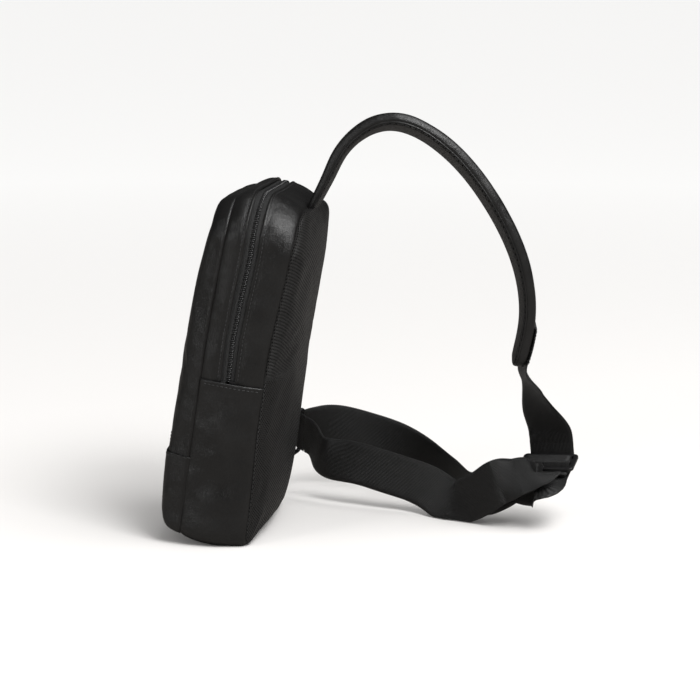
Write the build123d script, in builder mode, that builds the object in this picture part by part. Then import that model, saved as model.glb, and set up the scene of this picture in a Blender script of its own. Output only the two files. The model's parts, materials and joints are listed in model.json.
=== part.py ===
"""Sling bag: a tall leather pouch with a padded mesh back, standing on its base and leaning back.

World frame: +Z up, X across the bag, -Y towards the bag's front, origin on the floor where the base rests.
The pouch is drawn in its own leaning frame: x across, y from front to back, z along the bag's height.
"""

from build123d import *
from math import cos, radians, sin
import os

# ---------------------------------------------------------------- driving dimensions (mm, degrees)
LEAN = 8.5  # the pouch's top leans back by this angle
HEIGHT = 310.0
WIDTH = 170.0
CORNER = 42.0  # corner radius of the pouch, seen from the front
CREST_Y = -4.5  # depth of the widest, tallest outline; the main zip runs along it
FRONT_SEAM_Y = -29.0
BACK_SEAM_Y = 29.0
SIDE_DROP = 3.5  # how far the outline shrinks from the crest to either seam
TOP_DROP_FRONT = 8.0
TOP_DROP_BACK = 17.0
BOTTOM_DROP = 3.5
FRONT_DEPTH = 27.0  # front pocket, from the front seam to its face
BACK_DEPTH = 13.0  # back padding, from the back seam to its face
SIDE_PANEL_Z = 140.0  # top of the leather panel that wraps the base and lower sides
OVERLAY_Z = 75.0  # top of the overlay on the lower front
LEATHER = 1.4
LINING = 0.5
MESH = 1.8
LIFT = 0.7  # height of the leaning frame's origin above the floor
BASE_Y = 19.0  # depth of the line the leaning pouch stands on, in its own frame

ZIP_GAP = 12.0  # opening between the two folded leather edges
TAPE_WIDTH = 32.0
TAPE_INSET = 2.6
TAPE = 0.7
COIL_WIDTH = 2.5
COIL_GAP = 1.2  # slot between the coils, where the slider's neck runs
COIL_TOP = 0.6  # coil's outer face, below the leather's outer face
SLIDER_LENGTH = 14.0
MAIN_SLIDER_Z = 154.0
FRONT_ZIP_Z = 81.0
FRONT_ZIP_HALF = 52.0
FRONT_ZIP_SCALE = 0.75
FRONT_SLIDER_X = -40.0

WEB_WIDTH = 40.0
WEB = 1.4
STRAP_THICK = 13.0
STRAP_WIDTHS = [50, 54, 58, 58, 57, 54, 50, 46, 43]
RING_BAR = 2.0  # radius of the ring's wire
RING_INNER = (43.0, 10.0)
GLIDE = (50.0, 27.0, 3.0)
GLIDE_SLOT = (42.5, 7.6)
GLIDE_SLOT_AT = 6.3

os.makedirs("parts", exist_ok=True)


# ---------------------------------------------------------------- the leaning frame
BAG = Plane(
    origin=(0, -BASE_Y, LIFT),
    x_dir=(1, 0, 0),
    z_dir=(0, sin(radians(LEAN)), cos(radians(LEAN))),
)
BAG_BACK = BAG.y_dir
BAG_UP = BAG.z_dir


def bag_point(x, y, z):
    """World position of a point given in the pouch's frame."""
    return BAG.from_local_coords(Vector(x, y, z))


def across(y):
    """Plane across the pouch at depth y: its local x is across and its local y runs up the pouch."""
    return Plane(origin=bag_point(0, y, 0), x_dir=(1, 0, 0), z_dir=BAG_BACK * -1)


def level(z):
    """Plane square to the pouch's height at z, facing up."""
    return Plane(origin=bag_point(0, 0, z), x_dir=(1, 0, 0), z_dir=BAG_UP)


def finish(piece, label):
    piece.part.label = label
    export_step(piece.part, f"parts/{label}.step")


# ---------------------------------------------------------------- outlines of the pouch
def drop_share(y):
    """0 at the crest, 1 at either seam, growing as a parabola."""
    seam = BACK_SEAM_Y if y > CREST_Y else FRONT_SEAM_Y
    return ((y - CREST_Y) / (seam - CREST_Y)) ** 2


def outline(y, inset):
    """Draws the pouch's rounded outline at depth y, brought in all round by inset."""
    depth = min(max(y, FRONT_SEAM_Y), BACK_SEAM_Y)
    share = drop_share(depth)
    top_drop = TOP_DROP_BACK if depth > CREST_Y else TOP_DROP_FRONT
    half = WIDTH / 2 - SIDE_DROP * share - inset
    top = HEIGHT - top_drop * share - inset
    bottom = BOTTOM_DROP * share + inset
    with Locations((0, (top + bottom) / 2)):
        RectangleRounded(2 * half, top - bottom, CORNER - SIDE_DROP * share - inset)


def band(depths, outer, inner):
    """A hoop round the pouch, between two insets, over a run of depths."""
    with BuildPart() as hoop:
        for inset, mode in ((outer, Mode.ADD), (inner, Mode.SUBTRACT)):
            for y in depths:
                with BuildSketch(across(y)):
                    outline(y, inset)
            loft(mode=mode)
    return hoop.part


def pillow(seam, depth, rounding, skin=0.0, start=0.0):
    """A padded panel's solid shape, standing depth out from the seam with a rounded rim.
    skin shrinks it all round, and start moves its flat back away from the seam."""
    out = -1 if seam < 0 else 1
    thick = depth - skin - start
    with BuildPart() as block:
        with BuildSketch(across(seam + out * start)):
            outline(seam, skin)
        extrude(amount=-out * thick)
        face = block.faces().sort_by(Axis(BAG.origin, BAG_BACK * out))[-1]
        fillet(face.edges(), min(rounding - skin, thick - 0.5))
    return block.part


# ---------------------------------------------------------------- leather gusset
def deep(first, last, count=4):
    return [first + (last - first) * k / (count - 1) for k in range(count)]


ZIP_FRONT_EDGE = CREST_Y - ZIP_GAP / 2
ZIP_BACK_EDGE = CREST_Y + ZIP_GAP / 2

with BuildPart() as gusset_front_strip:
    add(band(deep(FRONT_SEAM_Y, ZIP_FRONT_EDGE), 0, LEATHER))
    split(bisect_by=level(SIDE_PANEL_Z), keep=Keep.TOP)
finish(gusset_front_strip, "gusset_front_strip")

with BuildPart() as gusset_rear_strip:
    add(band(deep(ZIP_BACK_EDGE, BACK_SEAM_Y), 0, LEATHER))
    split(bisect_by=level(SIDE_PANEL_Z), keep=Keep.TOP)
finish(gusset_rear_strip, "gusset_rear_strip")

with BuildPart() as side_base_panel:
    add(band(deep(FRONT_SEAM_Y, CREST_Y), 0, LEATHER))
    add(band(deep(CREST_Y, BACK_SEAM_Y), 0, LEATHER))
    split(bisect_by=level(SIDE_PANEL_Z), keep=Keep.BOTTOM)
    split(bisect_by=Plane.XY, keep=Keep.TOP)  # the floor flattens the crowned base
finish(side_base_panel, "side_base_panel")


# ---------------------------------------------------------------- front pocket
FRONT_ROUNDING = 22.0
OVERLAY_RISE = 1.0


def front_bulge(rise, skin, start=0.0):
    """The front's solid shape, standing rise proud of the nominal front and skin thinner all round."""
    return pillow(FRONT_SEAM_Y, FRONT_DEPTH + rise, FRONT_ROUNDING + rise, skin, start)


FRONT_FACE_Y = FRONT_SEAM_Y - FRONT_DEPTH
FRONT_SLOT = ZIP_GAP * FRONT_ZIP_SCALE


def front_slot():
    """The slot through the front that the front zip closes."""
    with BuildPart() as slot:
        with BuildSketch(across(FRONT_SEAM_Y - 15)):
            with Locations((0, FRONT_ZIP_Z)):
                RectangleRounded(2 * FRONT_ZIP_HALF, FRONT_SLOT, FRONT_SLOT / 2 - 0.2)
        extrude(amount=FRONT_DEPTH)
    return slot.part


with BuildPart() as front_panel:
    add(front_bulge(0, 0))
    add(front_bulge(0, LEATHER), mode=Mode.SUBTRACT)
    split(bisect_by=level(OVERLAY_Z), keep=Keep.TOP)
    add(front_slot(), mode=Mode.SUBTRACT)
finish(front_panel, "front_panel")

with BuildPart() as front_overlay:
    add(front_bulge(OVERLAY_RISE, 0))
    add(front_bulge(OVERLAY_RISE, LEATHER), mode=Mode.SUBTRACT)
    split(bisect_by=level(OVERLAY_Z), keep=Keep.BOTTOM)
finish(front_overlay, "front_overlay")

POCKET_LINING_SKIN = 5.0
with BuildPart() as front_pocket_lining:
    add(front_bulge(0, POCKET_LINING_SKIN, start=1.0))
    add(front_bulge(0, POCKET_LINING_SKIN + LINING, start=0.5), mode=Mode.SUBTRACT)
    add(front_slot(), mode=Mode.SUBTRACT)
finish(front_pocket_lining, "front_pocket_lining")


def flat_panel(label, y, thick, inset):
    """A flat sheet inside the pouch, from depth y towards the front."""
    with BuildPart() as sheet:
        with BuildSketch(across(y)):
            outline(y, inset)
        extrude(amount=thick)
    finish(sheet, label)


flat_panel("pocket_divider", FRONT_SEAM_Y + 2.7, 1.2, 6.0)


# ---------------------------------------------------------------- padded back
BACK_ROUNDING = 11.0
FOAM_CLEARANCE = 1.2
FOAM_START = 3.4



def back_bulge(skin, start=0.0):
    """The padded back's solid shape, skin thinner all round."""
    return pillow(BACK_SEAM_Y, BACK_DEPTH, BACK_ROUNDING, skin, start)


with BuildPart() as back_mesh:
    add(back_bulge(0))
    add(back_bulge(MESH), mode=Mode.SUBTRACT)
    split(bisect_by=Plane.XY, keep=Keep.TOP)  # the floor flattens its lower rim too
finish(back_mesh, "back_mesh")

with BuildPart() as back_foam:
    add(back_bulge(MESH + FOAM_CLEARANCE, FOAM_START))
finish(back_foam, "back_foam")

flat_panel("back_board", BACK_SEAM_Y + 1.8, 1.4, 3.5)
flat_panel("back_lining", BACK_SEAM_Y - 0.2, LINING, 2.5)


# ---------------------------------------------------------------- main compartment, inside
LINING_INSET = 5.4
LINING_SLIT = (CREST_Y - 12, CREST_Y + 12)

with BuildPart() as main_lining:
    add(band(deep(FRONT_SEAM_Y + 3.2, CREST_Y), LINING_INSET, LINING_INSET + LINING))
    add(band(deep(CREST_Y, BACK_SEAM_Y - 2.5), LINING_INSET, LINING_INSET + LINING))
    with BuildSketch(across(LINING_SLIT[1])):
        with Locations((0, SIDE_PANEL_Z + HEIGHT / 2)):
            Rectangle(WIDTH + 10, HEIGHT)
    extrude(amount=LINING_SLIT[1] - LINING_SLIT[0], mode=Mode.SUBTRACT)
finish(main_lining, "main_lining")

BINDING_INSETS = (1.7, 4.7)
BINDING_WIDTH = 3.0
SEAM_BINDINGS = {
    "front_seam_binding": FRONT_SEAM_Y + 0.5,
    "back_seam_binding": BACK_SEAM_Y - 1 - BINDING_WIDTH,
}
for label, first in SEAM_BINDINGS.items():
    with BuildPart() as binding:
        add(band(deep(first, first + BINDING_WIDTH, 2), *BINDING_INSETS))
    finish(binding, label)

with BuildPart() as base_board:
    with BuildSketch(level(3.9)):
        Rectangle(80, 40)
    extrude(amount=1.2)
finish(base_board, "base_board")

with BuildPart() as inner_pocket:
    with BuildSketch(across(BACK_SEAM_Y - 1.2)):
        with Locations((0, 125)):
            RectangleRounded(124, 130, 8)
    extrude(amount=0.8)
finish(inner_pocket, "inner_pocket")


# ---------------------------------------------------------------- main zip
TAPE_END_Z = SIDE_PANEL_Z - 12
COIL_END_Z = SIDE_PANEL_Z + 6.5
COIL_BOTTOM = TAPE_INSET - 0.1

TAPE_RUNS = {
    "zip_tape_front": (CREST_Y - TAPE_WIDTH / 2, CREST_Y - COIL_GAP / 2),
    "zip_tape_rear": (CREST_Y + COIL_GAP / 2, CREST_Y + TAPE_WIDTH / 2),
}
for label, (first, last) in TAPE_RUNS.items():
    with BuildPart() as tape:
        add(band(deep(first, last), TAPE_INSET, TAPE_INSET + TAPE))
        split(bisect_by=level(TAPE_END_Z), keep=Keep.TOP)
    finish(tape, label)

COIL_RUNS = {
    "zip_coil_front": (CREST_Y - COIL_GAP / 2 - COIL_WIDTH, CREST_Y - COIL_GAP / 2),
    "zip_coil_rear": (CREST_Y + COIL_GAP / 2, CREST_Y + COIL_GAP / 2 + COIL_WIDTH),
}
for label, (first, last) in COIL_RUNS.items():
    with BuildPart() as coil:
        add(band(deep(first, last, 2), COIL_TOP, COIL_BOTTOM))
        split(bisect_by=level(COIL_END_Z), keep=Keep.TOP)
    finish(coil, label)

STOP_THICK = COIL_BOTTOM - COIL_TOP
with BuildPart() as zip_stops:
    # one stop across both tapes where the zip starts, on the +X side
    with BuildSketch(level(SIDE_PANEL_Z + 1.2)):
        with Locations((WIDTH / 2 - COIL_TOP - STOP_THICK / 2, CREST_Y)):
            RectangleRounded(STOP_THICK, 2 * COIL_WIDTH + COIL_GAP, 0.4)
    extrude(amount=4.6)
    # one stop on each tape where the closed slider rests, on the -X side
    with BuildSketch(level(SIDE_PANEL_Z + 1.8)):
        for side in (-1, 1):
            with Locations(
                (
                    -(WIDTH / 2 - COIL_TOP - STOP_THICK / 2),
                    CREST_Y + side * (COIL_GAP + COIL_WIDTH) / 2,
                )
            ):
                RectangleRounded(STOP_THICK, COIL_WIDTH - 0.2, 0.4)
    extrude(amount=3.4)
finish(zip_stops, "zip_stops")


# ---------------------------------------------------------------- zip slider and pull
BRIDGE_HEIGHT = 3.4
BRIDGE_SLOT = 1.8
PULL_BAR = 0.75
PULL_THICK = 1.4
PULL_LENGTH = 27.0
PULL_WIDTH = 7.6
PULL_AXIS_RISE = BRIDGE_SLOT / 2 + 0.1  # pull's bar above the slider's top plate
PULL_AXIS_RUN = -2.0  # pull's bar, along the slider from its middle
PLATE_TOP = 1.6  # slider's top face, proud of the leather
PLATE_UNDER = 0.1
SLIDER_FLOOR = (TAPE_INSET + TAPE + 0.4, TAPE_INSET + TAPE + 1.4)


PLATE_CORNER = 3.0
FLANGE_HEIGHT = TAPE_INSET - 0.4  # side flanges, from the top plate down to just above the tape
FLANGE_WIDTH = 1.2
NECK_WIDTH = 0.7
BRIDGE_WIDTH = 2.4
PULL_CORNER = 2.4
PULL_ARM_ROOM = (11.0, 3.6)  # opening between the pull's two arms
PULL_HOLE = 1.5


def zip_slider(seat, scale):
    """A slider on a seat plane: local x is the way it opens, local z points out of the leather."""
    length = SLIDER_LENGTH * scale
    width = (ZIP_GAP - 1.2) * scale
    corner = PLATE_CORNER * scale
    with BuildPart() as body:
        with BuildSketch(seat.offset(-PLATE_UNDER * scale)):
            RectangleRounded(length, width, corner)
        extrude(amount=(PLATE_TOP + PLATE_UNDER) * scale)
        top_face = body.faces().sort_by(Axis(seat.origin, seat.z_dir))[-1]
        fillet(top_face.edges(), 0.5 * scale)
        with BuildSketch(seat.offset(-SLIDER_FLOOR[1] * scale)):
            RectangleRounded(length, width, corner)
        extrude(amount=(SLIDER_FLOOR[1] - SLIDER_FLOOR[0]) * scale)
        # side flanges keep the coils under the top plate
        with BuildSketch(seat.offset(-FLANGE_HEIGHT * scale)):
            for side in (-1, 1):
                with Locations((0, side * (width / 2 - 0.7 * scale))):
                    Rectangle(length * 0.55, FLANGE_WIDTH * scale)
        extrude(amount=FLANGE_HEIGHT * scale)
        # the neck joins the two plates between the coils
        with BuildSketch(seat.offset(-SLIDER_FLOOR[0] * scale)):
            with Locations((length * 0.3, 0)):
                Rectangle(length * 0.3, NECK_WIDTH * scale)
        extrude(amount=SLIDER_FLOOR[0] * scale)
        # the bridge holds the pull's bar
        with BuildSketch(seat.offset(PLATE_TOP * scale)):
            RectangleRounded(length * 0.6, BRIDGE_WIDTH * scale, 0.9 * scale)
        extrude(amount=BRIDGE_HEIGHT * scale)
        side_plane = Plane(origin=seat.origin, x_dir=seat.x_dir, z_dir=seat.y_dir * -1)
        with BuildSketch(side_plane.offset(-2 * scale)):
            with Locations((0, (PLATE_TOP + BRIDGE_SLOT / 2 + 0.1) * scale)):
                RectangleRounded(length * 0.42, BRIDGE_SLOT * scale, 0.8 * scale)
        extrude(amount=4 * scale, mode=Mode.SUBTRACT)
    return body


def zip_pull(seat, scale):
    """A flat pull hanging back along the slider from a round bar under the bridge."""
    rise = (PLATE_TOP + PULL_AXIS_RISE) * scale
    bar_at = seat.offset(rise).from_local_coords(Vector(PULL_AXIS_RUN * scale, 0, 0))
    hang = Plane(origin=bar_at, x_dir=seat.x_dir * -1, z_dir=seat.z_dir)
    with BuildPart() as pull:
        with BuildSketch(hang.offset(-PULL_THICK * scale / 2)):
            with Locations((PULL_LENGTH / 2 * scale, 0)):
                RectangleRounded(PULL_LENGTH * scale, PULL_WIDTH * scale, PULL_CORNER * scale)
            # the two arms stop just short of the bar's far side so the pull can turn
            with Locations((3.5 * scale, 0)):
                Rectangle(*(room * scale for room in PULL_ARM_ROOM), mode=Mode.SUBTRACT)
            with Locations((-1.5 * scale, 0)):
                Rectangle(2 * scale, PULL_WIDTH * scale, mode=Mode.SUBTRACT)
            with Locations(((PULL_LENGTH - 5) * scale, 0)):
                Circle(PULL_HOLE * scale, mode=Mode.SUBTRACT)
        extrude(amount=PULL_THICK * scale)
        with BuildSketch(Plane(origin=hang.origin, x_dir=hang.x_dir, z_dir=hang.y_dir)):
            Circle(PULL_BAR * scale)
        extrude(amount=(PULL_WIDTH / 2 - 0.4) * scale, both=True)
    return pull


MAIN_SEAT = Plane(
    origin=bag_point(-WIDTH / 2, CREST_Y, MAIN_SLIDER_Z), x_dir=BAG_UP, z_dir=(-1, 0, 0)
)
FRONT_SEAT = Plane(
    origin=bag_point(FRONT_SLIDER_X, FRONT_FACE_Y, FRONT_ZIP_Z),
    x_dir=(1, 0, 0),
    z_dir=BAG_BACK * -1,
)
finish(zip_slider(MAIN_SEAT, 1.0), "main_zip_slider")
finish(zip_pull(MAIN_SEAT, 1.0), "main_zip_pull")
finish(zip_slider(FRONT_SEAT, FRONT_ZIP_SCALE), "front_zip_slider")
finish(zip_pull(FRONT_SEAT, FRONT_ZIP_SCALE), "front_zip_pull")


# ---------------------------------------------------------------- front pocket zip
FRONT_TAPE_REACH = 10.0  # each tape's height, up or down from the zip's middle
FRONT_TAPE_LENGTH = 2 * FRONT_ZIP_HALF + 4
FRONT_COIL_LENGTH = 2 * FRONT_ZIP_HALF - 8


def front_strip(label, length, heights, depths):
    """A strip along the front zip, between two heights from its middle and two depths."""
    (low, high), (near, far) = sorted(heights), depths
    with BuildPart() as strip:
        with BuildSketch(across(FRONT_FACE_Y + near)):
            with Locations((0, FRONT_ZIP_Z + (low + high) / 2)):
                Rectangle(length, high - low)
        extrude(amount=-(far - near))
    finish(strip, label)


front_tape_depths = (TAPE_INSET * FRONT_ZIP_SCALE, (TAPE_INSET + TAPE) * FRONT_ZIP_SCALE)
front_coil_depths = (COIL_TOP * FRONT_ZIP_SCALE, COIL_BOTTOM * FRONT_ZIP_SCALE)
slot_half = COIL_GAP * FRONT_ZIP_SCALE / 2
coil_edge = slot_half + COIL_WIDTH * FRONT_ZIP_SCALE
for side, name in ((-1, "lower"), (1, "upper")):
    tape_heights = (side * slot_half, side * FRONT_TAPE_REACH)
    coil_heights = (side * slot_half, side * coil_edge)
    front_strip(f"front_tape_{name}", FRONT_TAPE_LENGTH, tape_heights, front_tape_depths)
    front_strip(f"front_coil_{name}", FRONT_COIL_LENGTH, coil_heights, front_coil_depths)


# ---------------------------------------------------------------- anchors of the strap
STRAP_ROOT = bag_point(0, BACK_SEAM_Y + 1.0, HEIGHT - TOP_DROP_BACK)
TAB_BAR = bag_point(-(WIDTH / 2 + 10), BACK_SEAM_Y - 1, 64)
SWING = (STRAP_ROOT - TAB_BAR).normalized()  # the strap swings about the line through both anchors
SEAM_SIDE_X = -(WIDTH / 2 - SIDE_DROP)

# ---------------------------------------------------------------- ring and its tab
TAB_CLEARANCE = 0.1
TAB_LOOP_WALL = 1.3
to_seam = Vector(1, 0.1, 0)
to_seam = (to_seam - SWING * to_seam.dot(SWING)).normalized()
TAB = Plane(origin=TAB_BAR, x_dir=to_seam, z_dir=SWING)
TAB_HEIGHTS = (38.0, 56.0)  # at the ring and at the seam
TAB_REACH = 16.0  # from the ring's bar into the seam

with BuildPart() as ring_tab:
    with BuildSketch(TAB.offset(-TAB_HEIGHTS[1] / 2)):
        Circle(RING_BAR + TAB_CLEARANCE + TAB_LOOP_WALL)
        with Locations((TAB_REACH / 2, 0)):
            Rectangle(TAB_REACH, 2 * TAB_LOOP_WALL)
        Circle(RING_BAR + TAB_CLEARANCE, mode=Mode.SUBTRACT)
    extrude(amount=TAB_HEIGHTS[1])
    # the tab is short at the ring and tall at the seam
    tab_face = Plane(origin=TAB_BAR, x_dir=TAB.x_dir, z_dir=TAB.y_dir)
    with BuildSketch(tab_face.offset(-6)):
        with BuildLine():
            Polyline(
                (-5, -TAB_HEIGHTS[0] / 2),
                (2, -TAB_HEIGHTS[0] / 2),
                (TAB_REACH, -TAB_HEIGHTS[1] / 2),
                (TAB_REACH, TAB_HEIGHTS[1] / 2),
                (2, TAB_HEIGHTS[0] / 2),
                (-5, TAB_HEIGHTS[0] / 2),
                close=True,
            )
        make_face()
    extrude(amount=12, mode=Mode.INTERSECT)
    # it is sewn off flush with the gusset
    split(
        bisect_by=Plane(origin=(SEAM_SIDE_X - 1.2, 0, 0), z_dir=(-1, 0, 0)),
        keep=Keep.TOP,
    )
finish(ring_tab, "ring_tab")

RING_WAY = Vector(-0.9, 0.43, 0)
RING_WAY = (RING_WAY - SWING * RING_WAY.dot(SWING)).normalized()
RING_ROOM = RING_INNER[1] + 2 * RING_BAR  # from one long bar's axis to the other's
RING_SPAN = RING_INNER[0] + 2 * RING_BAR
RING = Plane(origin=TAB_BAR, x_dir=RING_WAY, z_dir=RING_WAY.cross(SWING))

with BuildPart() as strap_ring:
    with BuildLine(RING) as ring_path:
        FilletPolyline(
            (0, -RING_SPAN / 2),
            (0, RING_SPAN / 2),
            (RING_ROOM, RING_SPAN / 2),
            (RING_ROOM, -RING_SPAN / 2),
            radius=3.5,
            close=True,
        )
    loop = ring_path.wires()[0]
    with BuildSketch(Plane(origin=loop @ 0, z_dir=loop % 0)):
        Circle(RING_BAR)
    sweep(path=loop)
finish(strap_ring, "strap_ring")


# ---------------------------------------------------------------- shoulder strap
ACROSS = Vector(1, 0, 0)
EDGE_ON = Vector(0.973, 0.154, 0.174)  # width direction of the hanging strap
ROOT_WAY = Vector(0, 0.45, 0.89)
STUB = 24.0
STRAP_STATIONS = 25

STRAP_POINTS = [
    STRAP_ROOT + ROOT_WAY * (STUB + 5),
    Vector(-4, 78, 334),
    Vector(-9, 117, 359),
    Vector(-13, 166, 339),
    Vector(-17, 207, 291),
    Vector(-21, 235, 229),
    Vector(-25, 239, 186),
    Vector(-30, 230.5, 145),
]
with BuildLine() as strap_line:
    Spline(*STRAP_POINTS)


def cross_plane(at, wide, along):
    """Section plane of a strap: x across it, y out of its outer face, z back along it."""
    wide = (wide - along * wide.dot(along)).normalized()
    return Plane(origin=at, x_dir=wide * -1, z_dir=along)


def strap_section(k):
    """Plane and width of the padded strap at station k."""
    share = k / (STRAP_STATIONS - 1)
    turn = min(1.0, share * 4)  # square to the bag at its root, then turned a little
    wide = ACROSS * (1 - turn) + EDGE_ON * turn
    spot = share * (len(STRAP_WIDTHS) - 1)
    low = min(int(spot), len(STRAP_WIDTHS) - 2)
    width = STRAP_WIDTHS[low] * (low + 1 - spot) + STRAP_WIDTHS[low + 1] * (spot - low)
    path = strap_line.line
    return cross_plane(path @ share, wide, path % share), width


STRAP_SECTIONS = [strap_section(k) for k in range(STRAP_STATIONS)]
COVER_WALL = 1.2
UNDER = 2.0  # mesh underside
SPLIT = -STRAP_THICK / 2 + 3.2  # the leather cover ends here, above the underside
EDGE_TAPE = 2.4
PLAY = 0.4


def strap_piece(label, draw):
    with BuildPart() as piece:
        for plane, width in STRAP_SECTIONS:
            with BuildSketch(plane):
                draw(width)
        loft()
    finish(piece, label)


def rect(width, low, high, at=0.0):
    with Locations((at, (low + high) / 2)):
        Rectangle(width, high - low)


def draw_cover(width):
    half = width / 2
    top = STRAP_THICK / 2
    rect(width, SPLIT, top)
    Rectangle(2 * (half - COVER_WALL), 2 * (top - COVER_WALL), mode=Mode.SUBTRACT)


strap_piece("strap_cover", draw_cover)
strap_piece(
    "strap_foam",
    lambda width: rect(
        width - 2 * (EDGE_TAPE + PLAY),
        -STRAP_THICK / 2 + UNDER + PLAY,
        STRAP_THICK / 2 - COVER_WALL - PLAY,
    ),
)
strap_piece(
    "strap_underside",
    lambda width: rect(
        width - 2 * (EDGE_TAPE + PLAY), -STRAP_THICK / 2, -STRAP_THICK / 2 + UNDER
    ),
)

with BuildPart() as strap_binding:
    for side in (-1, 1):
        for plane, width in STRAP_SECTIONS:
            with BuildSketch(plane):
                rect(
                    EDGE_TAPE,
                    -STRAP_THICK / 2,
                    SPLIT - PLAY,
                    side * (width - EDGE_TAPE) / 2,
                )
        loft()
finish(strap_binding, "strap_binding")

ROOT_PLANE = Plane(origin=STRAP_ROOT, x_dir=ACROSS, z_dir=ROOT_WAY)
with BuildPart() as strap_root:
    with BuildSketch(ROOT_PLANE.offset(4)):
        RectangleRounded(46, 5, 1.5)
    with BuildSketch(ROOT_PLANE.offset(STUB)):
        RectangleRounded(42, 5, 1.5)
    loft()
finish(strap_root, "strap_root")


# ---------------------------------------------------------------- adjuster
GLIDE_AT = Vector(-42, 259, 55)
GLIDE_WIDE = Vector(0.207, 0.971, 0.062).normalized()
GLIDE_RUN = Vector(0.943, -0.183, -0.298)  # the way the webbing leaves it
GLIDE_RUN = (GLIDE_RUN - GLIDE_WIDE * GLIDE_RUN.dot(GLIDE_WIDE)).normalized()
GLIDE_PLANE = Plane(origin=GLIDE_AT, x_dir=GLIDE_WIDE, z_dir=GLIDE_RUN.cross(GLIDE_WIDE))

with BuildPart() as tri_glide:
    with BuildSketch(GLIDE_PLANE.offset(-GLIDE[2] / 2)):
        RectangleRounded(GLIDE[0], GLIDE[1], 4)
        with Locations((0, GLIDE_SLOT_AT), (0, -GLIDE_SLOT_AT)):
            RectangleRounded(*GLIDE_SLOT, 1.5, mode=Mode.SUBTRACT)
    extrude(amount=GLIDE[2])
    fillet(tri_glide.faces().filter_by(GLIDE_PLANE).edges(), 0.6)
finish(tri_glide, "tri_glide")


# ---------------------------------------------------------------- webbing
def ribbon(stations, first_way, last_way, steps=3):
    """Webbing lofted through a list of (centre, width direction), square at its ends to the
    ways it meets its neighbours."""
    with BuildLine() as middle:
        Spline(*[at for at, wide in stations])
    path = middle.edges()[0]
    marks = [path.param_at_point(at) for at, wide in stations]
    count = steps * (len(stations) - 1)
    with BuildPart() as strip:
        for k in range(count + 1):
            low = min(k // steps, len(stations) - 2)
            part = k / steps - low
            share = marks[low] * (1 - part) + marks[low + 1] * part
            wide = stations[low][1] * (1 - part) + stations[low + 1][1] * part
            along = {0: first_way, count: last_way}.get(k, path % share)
            with BuildSketch(cross_plane(path @ share, wide, along)):
                Rectangle(WEB_WIDTH, WEB)
        loft()
    return strip


def threaded(plane, points, radius):
    """Webbing bent along a line drawn in a plane square to its width."""
    with BuildPart() as strip:
        with BuildSketch(plane.offset(-WEB_WIDTH / 2)):
            with BuildLine():
                FilletPolyline(*points, radius=radius)
            trace(line_width=WEB)
        extrude(amount=WEB_WIDTH)
    return strip


def glide_point(run, rise):
    return GLIDE_AT + GLIDE_RUN * run + GLIDE_PLANE.z_dir * rise


# the webbing through the adjuster: local x along its run, local y out of its face
THREAD_PLANE = Plane(origin=GLIDE_AT, x_dir=GLIDE_RUN, z_dir=GLIDE_WIDE)
BEND = 1.5
BAR_HALF = GLIDE_SLOT_AT - GLIDE_SLOT[1] / 2  # half of the middle bar's width
BAR_GAP = 0.15
SLEEVE = BAR_GAP + WEB  # from the middle bar to the outside of the webbing folded round it
UNDER_BAR = -(GLIDE[2] / 2 + 0.3 + WEB / 2)
OVER_BAR = GLIDE[2] / 2 + SLEEVE + 0.2 + WEB / 2
SLOT_PASS = BAR_HALF + SLEEVE + 0.3 + WEB / 2
TAIL_DROP = UNDER_BAR - 5
THREAD_END = GLIDE[1] / 2 + 4

thread = [
    (-17.0, 12.0),
    (-GLIDE[1] / 2 - 1.6, UNDER_BAR),
    (-SLOT_PASS - 2.0, UNDER_BAR),
    (-SLOT_PASS, OVER_BAR),
    (SLOT_PASS, OVER_BAR),
    (SLOT_PASS + 2.0, UNDER_BAR),
    (THREAD_END, UNDER_BAR),
]
tail = [
    (0, -GLIDE[2] / 2 - SLEEVE + WEB / 2),
    (0, TAIL_DROP),
    (THREAD_END, TAIL_DROP),
]

# the webbing round the ring's outer bar: local x across its two legs, local y out along them
BAR_AT = TAB_BAR + RING_WAY * RING_ROOM
LEGS_WAY = Vector(0, 1, 0)
LEGS_WAY = (LEGS_WAY - SWING * LEGS_WAY.dot(SWING)).normalized()
RING_TURN = Plane(origin=BAR_AT, x_dir=LEGS_WAY.cross(SWING), z_dir=SWING)
LEG_ANGLE = radians(35)
TURN_RADIUS = RING_BAR + 0.3 + WEB / 2
LEG = 12.0
turn_apex = -TURN_RADIUS / sin(LEG_ANGLE)


def leg_end(side):
    return (side * LEG * sin(LEG_ANGLE), turn_apex + LEG * cos(LEG_ANGLE))


def leg_way(side):
    return RING_TURN.x_dir * (side * sin(LEG_ANGLE)) + RING_TURN.y_dir * cos(LEG_ANGLE)


def ring_leg(side, extra):
    """Point on a leg's line, extra beyond its end."""
    return RING_TURN.from_local_coords(Vector(*leg_end(side))) + leg_way(side) * extra


UP = Vector(0, 0, 1)
SEWN_OUT = STRAP_THICK / 2 + 1.7 + WEB / 2  # webbing's middle, out from the padded strap's middle
SEWN_STATIONS = 4  # the webbing is sewn over the last stations of the padded strap
BREAK = 0.2  # gap where one run of the webbing is drawn as the next

tip = STRAP_SECTIONS[-1][0]
sewn = [
    (plane.origin + plane.y_dir * SEWN_OUT, plane.x_dir * -1)
    for plane, width in STRAP_SECTIONS[-SEWN_STATIONS:]
]
hanging = [
    (Vector(-40, 243.5, 124), EDGE_ON * 0.8 + GLIDE_WIDE * 0.2),
    (Vector(-47, 251, 99), EDGE_ON * 0.35 + GLIDE_WIDE * 0.65),
    (glide_point(-17, 21), GLIDE_WIDE),
    (glide_point(-17, 12 + BREAK), GLIDE_WIDE),
]

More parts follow.
